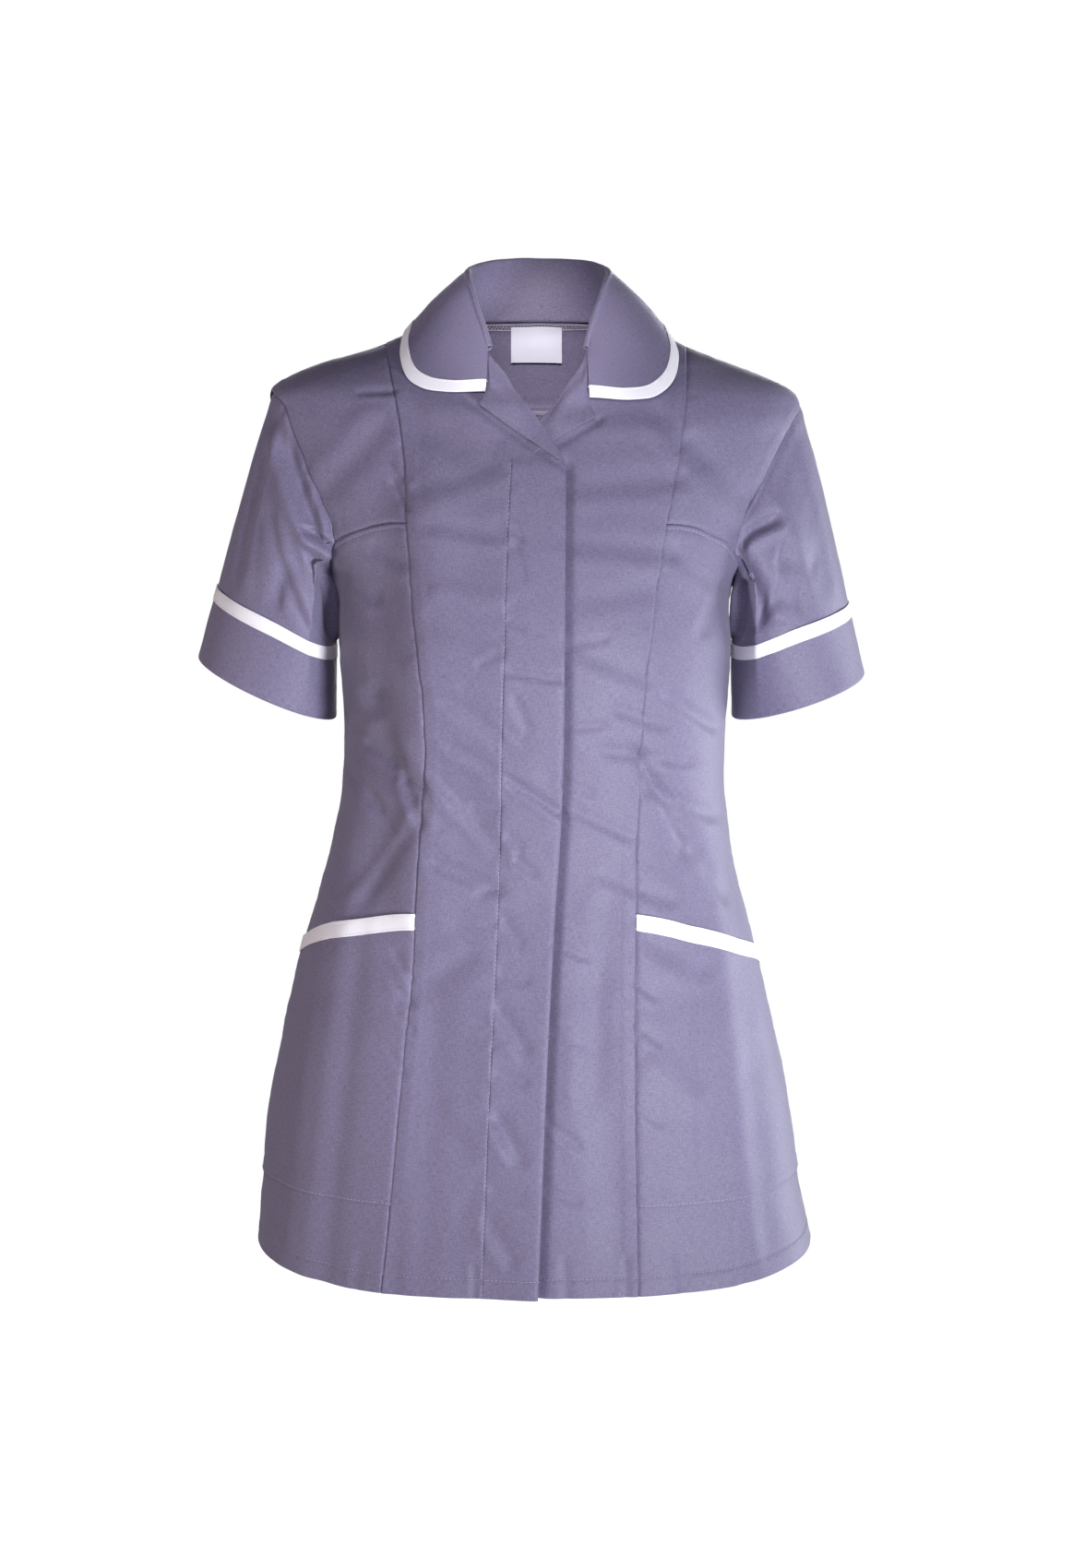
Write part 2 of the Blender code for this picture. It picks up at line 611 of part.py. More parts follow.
def sleeve_folds(side, around, down):
    """How far the sleeve's folds move it outwards: places are degrees round it and shares down it."""
    total = np.zeros(np.broadcast(around, down).shape)
    for sleeve, a0, d0, a1, d1, width, depth in zip(*SLEEVE_FOLDS.values()):
        if sleeve != side:
            continue
        run, rise = (a1 - a0) * SLEEVE_MM_PER_DEGREE, (d1 - d0) * SLEEVE_LENGTH
        length = math.hypot(run, rise)
        x, y = (around - a0) * SLEEVE_MM_PER_DEGREE, (down - d0) * SLEEVE_LENGTH
        total = total + trough((x * rise - y * run) / length, (x * run + y * rise) / length**2, width, depth)
    above_cuff = smoothstep((SLEEVE_PLAIN_BELOW - down) / SLEEVE_FOLD_FADE)
    return total * smoothstep(down / SLEEVE_FOLD_FADE) * above_cuff


def mitred(own, other):
    """Wall directions on a seam that two walls share, so that both end on one plane."""
    facing = np.sum(own * other, -1, keepdims=True)
    share = smoothstep((facing + 0.1) / 0.5)
    corner = (own + other) / np.maximum(1 + facing, 0.3)
    return own + (corner - own) * share


# ---------------------------------------------------------------- the pieces


tunic = bpy.data.collections.new("work_tunic")


def make_body(edge, sleeves, cloth, tape):
    rows_to = np.cumsum(ROW_LEVELS["rows"])
    pocket_foot, tape_foot, mouth, lower_rows = rows_to[0], rows_to[1], rows_to[2], rows_to[-1]

    def sleeve_start(side, points):
        """The sleeve's own wall directions at points of its armhole."""
        loop, _, normals = sleeves[side]
        turned = np.mod(points[:, None, 0] - loop[None, :, 0] + math.pi, 2 * math.pi) - math.pi
        apart = np.abs(turned) * BODY_HALF_WIDTH + np.abs(points[:, None, 1] - loop[None, :, 1])
        return normals[-1][np.argmin(apart, axis=1)]

    def directions(grid, holes):
        """Wall directions of a panel, mitred where it meets a sleeve."""
        result = body_normal(grid[..., 0], grid[..., 1])
        for side, where, points in holes:
            own = body_normal(points[:, 0], points[:, 1])
            result[where] = mitred(own, sleeve_start(side, points))
        return result

    for side in ("right", "left"):
        rows = joined(edge["princess " + side], edge["upper princess " + side])
        front_edge = joined(edge["front edge " + side], edge["above bust " + side],
                            edge["roll " + side], edge["front neck " + side])
        shoulder = edge["inner shoulder " + side]
        princess_foot, fly_foot = rows[0, 0], front_edge[0, 0]
        if side == "right":
            hem = hem_between(princess_foot, fly_foot, COLUMNS["front"])
            grid = patch(hem, shoulder, rows, front_edge)
        else:
            hem = hem_between(fly_foot, princess_foot, COLUMNS["front"])
            grid = patch(hem, shoulder[::-1], front_edge, rows)
        lift = fly_lift(grid) if side == "right" else 0.0
        panel("front_" + side, grid, cloth, lift=lift)

        side_edge = edge["side " + side]
        under, bust = edge["under armhole " + side], edge["bust " + side]
        if side == "right":
            hem = hem_between(side_edge[0, 0], princess_foot, COLUMNS["under armhole"] + COLUMNS["bust seam"])
            grid = patch(hem, joined(under, bust), side_edge, edge["princess " + side])
            hole = (side, (-1, slice(0, len(under))), under)
        else:
            hem = hem_between(princess_foot, side_edge[0, 0], COLUMNS["under armhole"] + COLUMNS["bust seam"])
            grid = patch(hem, joined(bust, under[::-1]), edge["princess " + side], side_edge)
            hole = (side, (-1, slice(len(bust) - 1, None)), under[::-1])
        panel("side_front_" + side, grid, cloth, directions=directions(grid, [hole]))

        pocket_lift = LAYER_GAP + LAYER_WALL
        tape_lift = pocket_lift + LAYER_GAP + LAYER_WALL
        panel("pocket_" + side, grid[pocket_foot:mouth + 1], cloth, lift=pocket_lift, thickness=LAYER_WALL)
        panel("pocket_tape_" + side, grid[tape_foot:mouth + 1], tape, lift=tape_lift, thickness=LAYER_WALL)

        hole_rows = edge["front armhole " + side]
        upper, outer_shoulder = edge["upper princess " + side], edge["outer shoulder " + side]
        if side == "right":
            grid = patch(bust, outer_shoulder, hole_rows, upper)
            hole = (side, (slice(None), 0), hole_rows)
        else:
            grid = patch(bust, outer_shoulder[::-1], upper, hole_rows)
            hole = (side, (slice(None), -1), hole_rows)
        grid = evened(grid)
        panel("upper_front_" + side, grid, cloth, directions=directions(grid, [hole]), shorter=True)

    left_rows = joined(edge["side left"], edge["back armhole left"])
    right_rows = joined(same_turn(edge["side right"]), edge["back armhole right"])
    grid = patch(edge["back hem"], edge["yoke seam"], left_rows, right_rows)
    holes = [("left", (slice(lower_rows, None), 0), edge["back armhole left"]),
             ("right", (slice(lower_rows, None), -1), edge["back armhole right"])]
    panel("back", grid, cloth, directions=directions(grid, holes))

    grid = evened(patch(edge["yoke seam"], edge["yoke top"], edge["yoke armhole left"],
                        edge["yoke armhole right"]))
    holes = [("left", (slice(None), 0), edge["yoke armhole left"]),
             ("right", (slice(None), -1), edge["yoke armhole right"])]
    panel("back_yoke", grid, cloth, directions=directions(grid, holes), shorter=True)


def fly_lift(grid):
    """How far the right front stands off over its placket, above the left front."""
    angle, z = grid[..., 0], grid[..., 1]
    x = plain_body(angle, z)[..., 0]
    fly_x = across_at(FLY_EDGE, np.minimum(z, FLY_EDGE["z"][-1]))
    roll_x = across_at(ROLL_RIGHT, np.clip(z, ROLL_RIGHT["z"][0], ROLL_RIGHT["z"][-1]))
    edge_x = np.where(z > FLY_EDGE["z"][-1], roll_x, fly_x)
    over_placket = smoothstep((x - edge_x + FLY_WIDTH + FLY_RISES_OVER) / FLY_RISES_OVER)
    plain_above, full_below = COLLAR_FADE_Z
    return FLY_LIFT * over_placket * smoothstep((plain_above - z) / (plain_above - full_below))


def make_revers(cloth):
    rows, columns = 10, 4
    for side, free, gorge in (("right", REVER_RIGHT_EDGE, REVER_RIGHT_GORGE),
                              ("left", REVER_LEFT_EDGE, REVER_LEFT_GORGE)):
        roll_points = on_surface(ROLL_RIGHT if side == "right" else ROLL_LEFT)
        roll_points[-1] += (roll_points[-2] - roll_points[-1]) * REVER_SHORT
        roll = sampled(roll_points, rows)
        free_edge = sampled(on_surface(free), rows)
        gorge_edge = sampled(on_surface(gorge), columns)
        gorge_edge[-1] = roll[-1]
        if side == "right":
            grid = patch(sampled([free_edge[0], roll[0]], columns), gorge_edge, free_edge, roll)
            lift = fly_lift(grid) + REVER_OVER_FLY + LAYER_WALL
        else:
            grid = patch(sampled([roll[0], free_edge[0]], columns), gorge_edge[::-1], roll, free_edge)
            lift = REVER_LIFT + LAYER_WALL
        panel("rever_" + side, grid, cloth, lift=lift, thickness=LAYER_WALL)


def make_label(material):
    half = LABEL["width"] / 2
    columns, rows = 4, 2
    x = np.linspace(half, -half, columns + 1)
    z = np.linspace(LABEL["bottom"], LABEL["top"], rows + 1)
    across, height = np.meshgrid(x, z)
    grid = np.stack([angle_at(across, height, behind=True), height], -1)
    panel("label", grid, material, lift=LABEL["lift"], thickness=LAYER_WALL)


def make_sleeves(sleeves, cloth, tape):
    for side, (loop, grid, normals) in sleeves.items():
        own = normals.copy()
        own[-1] = mitred(normals[-1], body_normal(loop[:, 0], loop[:, 1]))
        wall("sleeve_" + side, grid, grid - PANEL_WALL * own, cloth, closed=True)
        cuff_lift = LAYER_GAP + PANEL_WALL
        cuff = grid[:4] + cuff_lift * normals[:4]
        wall("cuff_" + side, cuff, cuff - PANEL_WALL * normals[:4], cloth, closed=True)
        tape_lift = cuff_lift + LAYER_GAP + LAYER_WALL
        band = grid[2:4] + tape_lift * normals[2:4]
        wall("cuff_tape_" + side, band, band - LAYER_WALL * normals[2:4], tape, closed=True)


def make_collar(edge, cloth, tape):
    neck = joined(same_turn(edge["front neck right"]), edge["back neck"][::-1], edge["front neck left"][::-1])
    seam = body_point(neck[:, 0], neck[:, 1])
    place = np.linspace(0, 1, COLLAR_COLUMNS + 1)
    along_seam = travelled(seam)
    foot = np.stack([np.interp(place * along_seam[-1], along_seam, seam[:, axis]) for axis in range(3)], 1)

    sections = {key: np.array(values, float) for key, values in COLLAR_SECTIONS.items()}
    roll = np.stack([spline(place, sections["neck"], sections["roll_" + axis]) for axis in "xyz"], 1)
    edge_x, edge_y = (spline(place, sections["neck"], sections["edge_" + axis]) for axis in "xy")
    edge_z = height_over(edge_x, edge_y)
    outer = body_point(angle_at(edge_x, edge_z, behind=edge_y > 0), edge_z, COLLAR_LIFT)

    outward = unit(outer - foot)
    along = unit(np.gradient(roll, axis=0))
    sideways = unit(np.cross(along, np.array([0, 0, 1.0])))
    upward = np.cross(sideways, along)
    outward = unit(outward - upward * np.sum(outward * upward, 1, keepdims=True)
                   - along * np.sum(outward * along, 1, keepdims=True))

    rows = []
    foot = foot + COLLAR_FOOT_GAP * unit(roll - foot)
    for t in np.linspace(0, 1, STAND_ROWS + 1):
        bow = STAND_BOW * np.linalg.norm(roll - foot, axis=1, keepdims=True) * math.sin(math.pi * t)
        rows.append(foot + (roll - outward * COLLAR_ROLL - foot) * t - outward * bow)
    rows.append(roll + upward * COLLAR_ROLL)
    start = roll + outward * COLLAR_ROLL
    fall = outer - start
    depth = np.linalg.norm(fall, axis=1, keepdims=True)
    tape_share = 1 - COLLAR_TAPE / depth
    for step in np.linspace(0, 1, FALL_ROWS):
        t = step * tape_share
        rows.append(start + fall * t + upward * FALL_BOW * depth * np.sin(np.pi * t))
    rows.append(outer)
    inner = np.array(rows)
    normals = grid_normals(inner)
    middle = inner[-3]
    if np.sum(normals[-3] * (middle - middle.mean(0))) < 0:
        normals = -normals
    visible = inner + PANEL_WALL * normals
    wall("collar", visible, inner, cloth)
    strip = visible[-2:] + (LAYER_GAP + LAYER_WALL) * normals[-2:]
    wall("collar_tape", strip, strip - LAYER_WALL * normals[-2:], tape)


def main():
    for item in list(bpy.data.objects):
        bpy.data.objects.remove(item)
    bpy.context.scene.collection.children.link(tunic)
    cloth = finish("Cloth", CLOTH_COLOUR, 0.85)
    tape = finish("Tape", TAPE_COLOUR, 0.7)
    label = finish("Label", LABEL_COLOUR, 0.8)

    edge = body_edges()
    sleeves = {side: sleeve_grid(edge, side) for side in ("right", "left")}
    make_body(edge, sleeves, cloth, tape)
    make_revers(cloth)
    make_sleeves(sleeves, cloth, tape)
    make_collar(edge, cloth, tape)
    make_label(label)


main()
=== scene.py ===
import math

import bpy
import numpy as np
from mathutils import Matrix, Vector


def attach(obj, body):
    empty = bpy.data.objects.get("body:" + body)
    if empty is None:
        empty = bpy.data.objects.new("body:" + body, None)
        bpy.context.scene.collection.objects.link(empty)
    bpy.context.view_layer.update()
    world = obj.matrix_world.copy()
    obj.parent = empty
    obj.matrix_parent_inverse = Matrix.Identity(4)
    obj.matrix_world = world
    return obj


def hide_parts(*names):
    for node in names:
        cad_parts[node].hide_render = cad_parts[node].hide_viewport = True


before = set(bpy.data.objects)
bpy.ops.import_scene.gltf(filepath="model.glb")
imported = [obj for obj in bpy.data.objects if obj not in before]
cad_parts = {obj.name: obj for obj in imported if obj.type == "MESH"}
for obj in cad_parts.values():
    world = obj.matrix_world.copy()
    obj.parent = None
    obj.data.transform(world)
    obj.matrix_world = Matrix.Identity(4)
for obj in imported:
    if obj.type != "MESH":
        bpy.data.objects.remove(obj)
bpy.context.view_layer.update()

# The studio. The tunic hangs at the shoulder height of someone standing on a pale floor. Soft light
# comes from the front, cooler and stronger on the tunic's left, and the camera looks a little down.
MM = 0.001
CAMERA_DISTANCE = 2.7
CAMERA_PITCH = math.radians(6.5)
CAMERA_TARGET_Z = -0.336
CAMERA_SENSOR = 36
PHOTO_HEIGHT = 1.173
FLOOR_Z = -1.35
FLOOR_RADIUS = 7.0
FLOOR_FADES_BETWEEN = (1.2, 5.0)
FLOOR_GREY = (0.2, 0.2, 0.2, 1)
FLOOR_BRIGHTNESS = 0.97
WHITE = (1, 1, 1, 1)
ROOM_LIGHT = {"Color": (0.9, 0.92, 1, 1), "Strength": 0.05}
LIGHTS = {
    "name": ("key", "side_behind", "front_above", "left_low", "left_behind", "behind", "neck"),
    "turn": (31, 112, -6, -60, -110, 176, 2),
    "rise": (-18, -8, 30, -20, 0, 12, 16),
    "distance": (2.6, 3.0, 3.0, 2.4, 2.6, 3.0, 2.6),
    "size": (0.7, 1.5, 1.5, 1.2, 1.2, 1.5, 0.05),
    "cone": (31, 0, 0, 0, 0, 0, 4.0),
    "aim": (-0.37, -0.336, -0.336, -0.336, -0.336, -0.336, -0.01),
    "power": (475, 88, 30, 21, 8, 60, 280),
    "colour": ((0.9, 0.915, 1), (0.86, 0.9, 1), (0.94, 0.86, 1), (1, 0.88, 0.8), (1, 0.8, 1), (0.95, 0.95, 1),
               (1, 0.97, 1)),
}

camera = bpy.data.objects.new("camera", bpy.data.cameras.new("camera"))
camera.data.sensor_width = CAMERA_SENSOR
camera.data.lens = CAMERA_SENSOR * CAMERA_DISTANCE / PHOTO_HEIGHT
camera.location = (0, -CAMERA_DISTANCE * math.cos(CAMERA_PITCH),
                   CAMERA_TARGET_Z + CAMERA_DISTANCE * math.sin(CAMERA_PITCH))
camera.rotation_euler = (math.pi / 2 - CAMERA_PITCH, 0, 0)
bpy.context.scene.collection.objects.link(camera)
bpy.context.scene.camera = camera
bpy.context.scene.view_settings.view_transform = "Standard"


def unit(vectors):
    return vectors / np.maximum(np.linalg.norm(vectors, axis=-1, keepdims=True), 1e-9)


def lamp(name, turn, rise, distance, size, cone, aim, power, colour):
    """A square soft box, or with a cone a soft spot, aimed at a height on the tunic's middle line."""
    light = bpy.data.lights.new(name, "SPOT" if cone else "AREA")
    light.energy = power
    light.color = colour
    if cone:
        light.spot_size = math.radians(cone)
        light.spot_blend = 1.0
        light.shadow_soft_size = size / 2
    else:
        light.shape = "SQUARE"
        light.size = size
    turn, rise = math.radians(turn), math.radians(rise)
    away = Vector((math.cos(rise) * math.sin(turn), -math.cos(rise) * math.cos(turn), math.sin(rise)))
    holder = bpy.data.objects.new(name, light)
    holder.location = Vector((0, 0, aim)) + distance * away
    holder.rotation_euler = away.to_track_quat("Z", "Y").to_euler()
    bpy.context.scene.collection.objects.link(holder)


def feed(made, inputs):
    """Gives each named input of a node a value, or links it to another node's socket."""
    for name, value in inputs.items():
        if isinstance(value, bpy.types.NodeSocket):
            made.id_data.links.new(value, made.inputs[name])
        else:
            made.inputs[name].default_value = value
    return made


def node(tree, kind, inputs=None, **settings):
    """A new node of a tree, with its settings and inputs."""
    made = tree.nodes.new(kind)
    for name, value in settings.items():
        setattr(made, name, value)
    return feed(made, inputs or {})


def reckoned(tree, operation, *values):
    """What a Math node makes of numbers or sockets."""
    return node(tree, "ShaderNodeMath", dict(enumerate(values)), operation=operation).outputs[0]


def surface(name):
    """A new material, its tree and its shader."""
    material = bpy.data.materials.new(name)
    material.use_nodes = True
    return material, material.node_tree, material.node_tree.nodes["Principled BSDF"]


for row in zip(*LIGHTS.values()):
    lamp(*row)

world = bpy.data.worlds.new("studio")
world.use_nodes = True
bpy.context.scene.world = world
tree = world.node_tree
tree.nodes.clear()
around = node(tree, "ShaderNodeBackground", ROOM_LIGHT)
seen = node(tree, "ShaderNodeBackground", {"Color": WHITE, "Strength": 1.0})
straight = node(tree, "ShaderNodeLightPath").outputs["Is Camera Ray"]
either = node(tree, "ShaderNodeMixShader", {"Fac": straight, 1: around.outputs[0], 2: seen.outputs[0]})
node(tree, "ShaderNodeOutputWorld", {"Surface": either.outputs[0]})

bpy.ops.mesh.primitive_circle_add(vertices=96, radius=FLOOR_RADIUS, fill_type="NGON",
                                  location=(0, 0, FLOOR_Z))
floor = bpy.context.object
floor.name = "floor"
pale, tree, shader = surface("pale floor")
straight = node(tree, "ShaderNodeLightPath").outputs["Is Camera Ray"]
place = node(tree, "ShaderNodeTexCoord").outputs["Object"]
away = node(tree, "ShaderNodeVectorMath", {0: place}, operation="LENGTH").outputs["Value"]
fade = node(tree, "ShaderNodeMapRange", {
    "Value": away, "From Min": FLOOR_FADES_BETWEEN[0], "From Max": FLOOR_FADES_BETWEEN[1],
    "To Min": 1.0, "To Max": 0.0}, interpolation_type="SMOOTHSTEP")
feed(shader, {
    "Base Color": FLOOR_GREY, "Roughness": 1.0, "Specular IOR Level": 0.0, "Emission Color": WHITE,
    "Emission Strength": reckoned(tree, "MULTIPLY", straight, FLOOR_BRIGHTNESS),
    "Alpha": fade.outputs["Result"]})
floor.data.materials.append(pale)


# The two fronts are the widest pieces: lilac-grey polycotton, cut from shoulder to hem, each with its
# edge turned back as a facing. The right one laps over the left and is stitched down as a placket.
# The form that all of the body's pieces share starts here: rings, in millimetres, and the seams on them.
BODY_RINGS = {
    "z": (11, 4, 0, -10, -26, -42, -58, -80, -110, -140, -165, -188, -232, -290, -343, -399, -455,
          -511, -568, -638, -700),
    "right": (60, 76, 90, 114, 163, 194, 195, 190, 181, 168, 156, 148.3, 146.7, 143.5, 146, 158.8,
              174.5, 187.4, 198.6, 206, 212.5),
    "left": (58, 74, 86, 107, 149, 187, 196, 192, 183, 169, 155, 145.6, 143.9, 140.8, 140.5, 149.1,
             163, 176.4, 187.8, 199.8, 212),
    "front": (28, 35, 38, 45, 57, 69, 79, 88, 100, 110, 117, 122, 126, 120, 112, 110, 113, 117, 120,
              123, 125),
    "back": (53, 58, 60, 64, 72, 79, 85, 91, 97, 101, 102, 101.5, 97, 88, 86, 96, 106, 112, 115, 117,
             119),
}
ROUND_ABOVE_Z = -60
SQUARER_BELOW_Z = -260
SQUARER_BY = 0.3
SMALL_TURN = 0.002
SMALL_RISE = 0.2
FINE = 8
NEAR_EDGE = (0, 0.35, 0.8, 1.4, 2.2)
SIDES = ("left", "right", "bottom", "top")
CURVE_STEPS = 240
HEM_WAVES = {"height": (0.9, 0.7, 0.4), "count": (7, 11, 17), "start": (0.6, 2.1, 4)}
HEM_WAVES_FROM_Z = -440
HEM_WAVES_OVER = 230

NECK_SIDE_Z = 3
HEM_SIDE_Z = -682
HEM_DIP = 15.5
HEM_DEPTH = 14
FLY_LIFT = 3.0
FLY_WIDTH = 41
FLY_RISES_OVER = 46
UNDERLAP = 36
UNDER_FLY_DIP = 3.8
COLLAR_FADE_Z = (-42, -60)
CLOTH = 0.5
PLACKET = 1.7
STITCHED_COLUMN = 4.25
FLY_STITCHES_END_Z = -94
PLACKET_FLARE = 6.0

PRINCESS_RIGHT = {
    "x": (-113, -107, -100, -95, -88, -83, -79.5, -77.5, -80, -85, -91.5, -95, -99, -106, -110),
    "z": (-698, -641, -565, -511, -442, -381, -325, -290, -244, -206, -138, -94, -64, -29, -8.6),
}
PRINCESS_LEFT = {
    "x": (74, 73, 72, 72, 72, 74, 76.5, 81, 85, 93.5, 103, 107, 110),
    "z": (-698, -619, -558, -418, -374, -332, -270, -225, -191, -138, -87, -57, -11.1),
}
FLY_EDGE = {"x": (1, 10, 12, 18, 20, 21), "z": (-698, -477, -440, -344, -223, -96)}
FLY_STITCHES = {
    "x": (-40, -34, -29, -26, -25, -23, -21, -18),
    "z": (-698, -547, -447, -353, -298, -229, -150, -93),
}
ROLL_RIGHT = {"x": (21, 12, 2, -5, -14, -26, -34.5), "z": (-96, -80, -66, -58, -47, -28, -15)}
ROLL_LEFT = {"x": (-16, -8, 2, 9, 26, 36), "z": (-96, -80, -64, -58, -35, -15)}
ROW_LEVELS = {
    "name": ("hem", "pocket bottom", "tape bottom", "pocket mouth", "waist", "bust seam"),
    "princess": (None, -619, -431, -419, -325, -138),
    "right side": (None, -617, -463, -451, -325, None),
    "left side": (None, -615, -472, -460, -325, None),
    "rows": (3, 8, 1, 4, 8, 0),
}
UPPER_ROWS = {"bust to break": 2, "roll line": 4, "front neck": 2}
COLUMNS = {"front": 7, "bust seam": 4, "under armhole": 4, "half back neck": 5}

# Largest folds, as in the solids, then the finer creases of the fronts and the back, and the hollows
# beside the revers. Each is a soft trough, or with a negative depth a ridge, from one place across and
# up to another. Beside a crease the cloth rises in a lower ridge.
FOLD_COLUMNS = ("x", "z", "to x", "to z", "width", "depth")
RIDGE_SHARE = 0.45
END_NARROWING = 0.45
FRONT_TURNS_BACK_OVER = 20
FOLDS = {
    "front": (
        (-134, -300, -84, -328, 13, 5),
        (-118, -262, -104, -308, 10, 2.5),
        (-76, -300, -36, -344, 11, 2.2),
        (-66, -352, -34, -376, 9, 1.6),
        (-70, -384, -36, -402, 8, 1.3),
        (76, -312, 110, -372, 11, 3),
        (-104, -352, -128, -392, 14, 2.5),
        (60, -300, 10, -314, 12, 1.2),
    ),
    "back": (
        (-60, -300, -20, -318, 12, 2.5),
        (95, -300, 50, -335, 13, 3),
        (-95, -330, -55, -352, 12, 3),
        (20, -250, 80, -285, 15, 2),
    ),
}
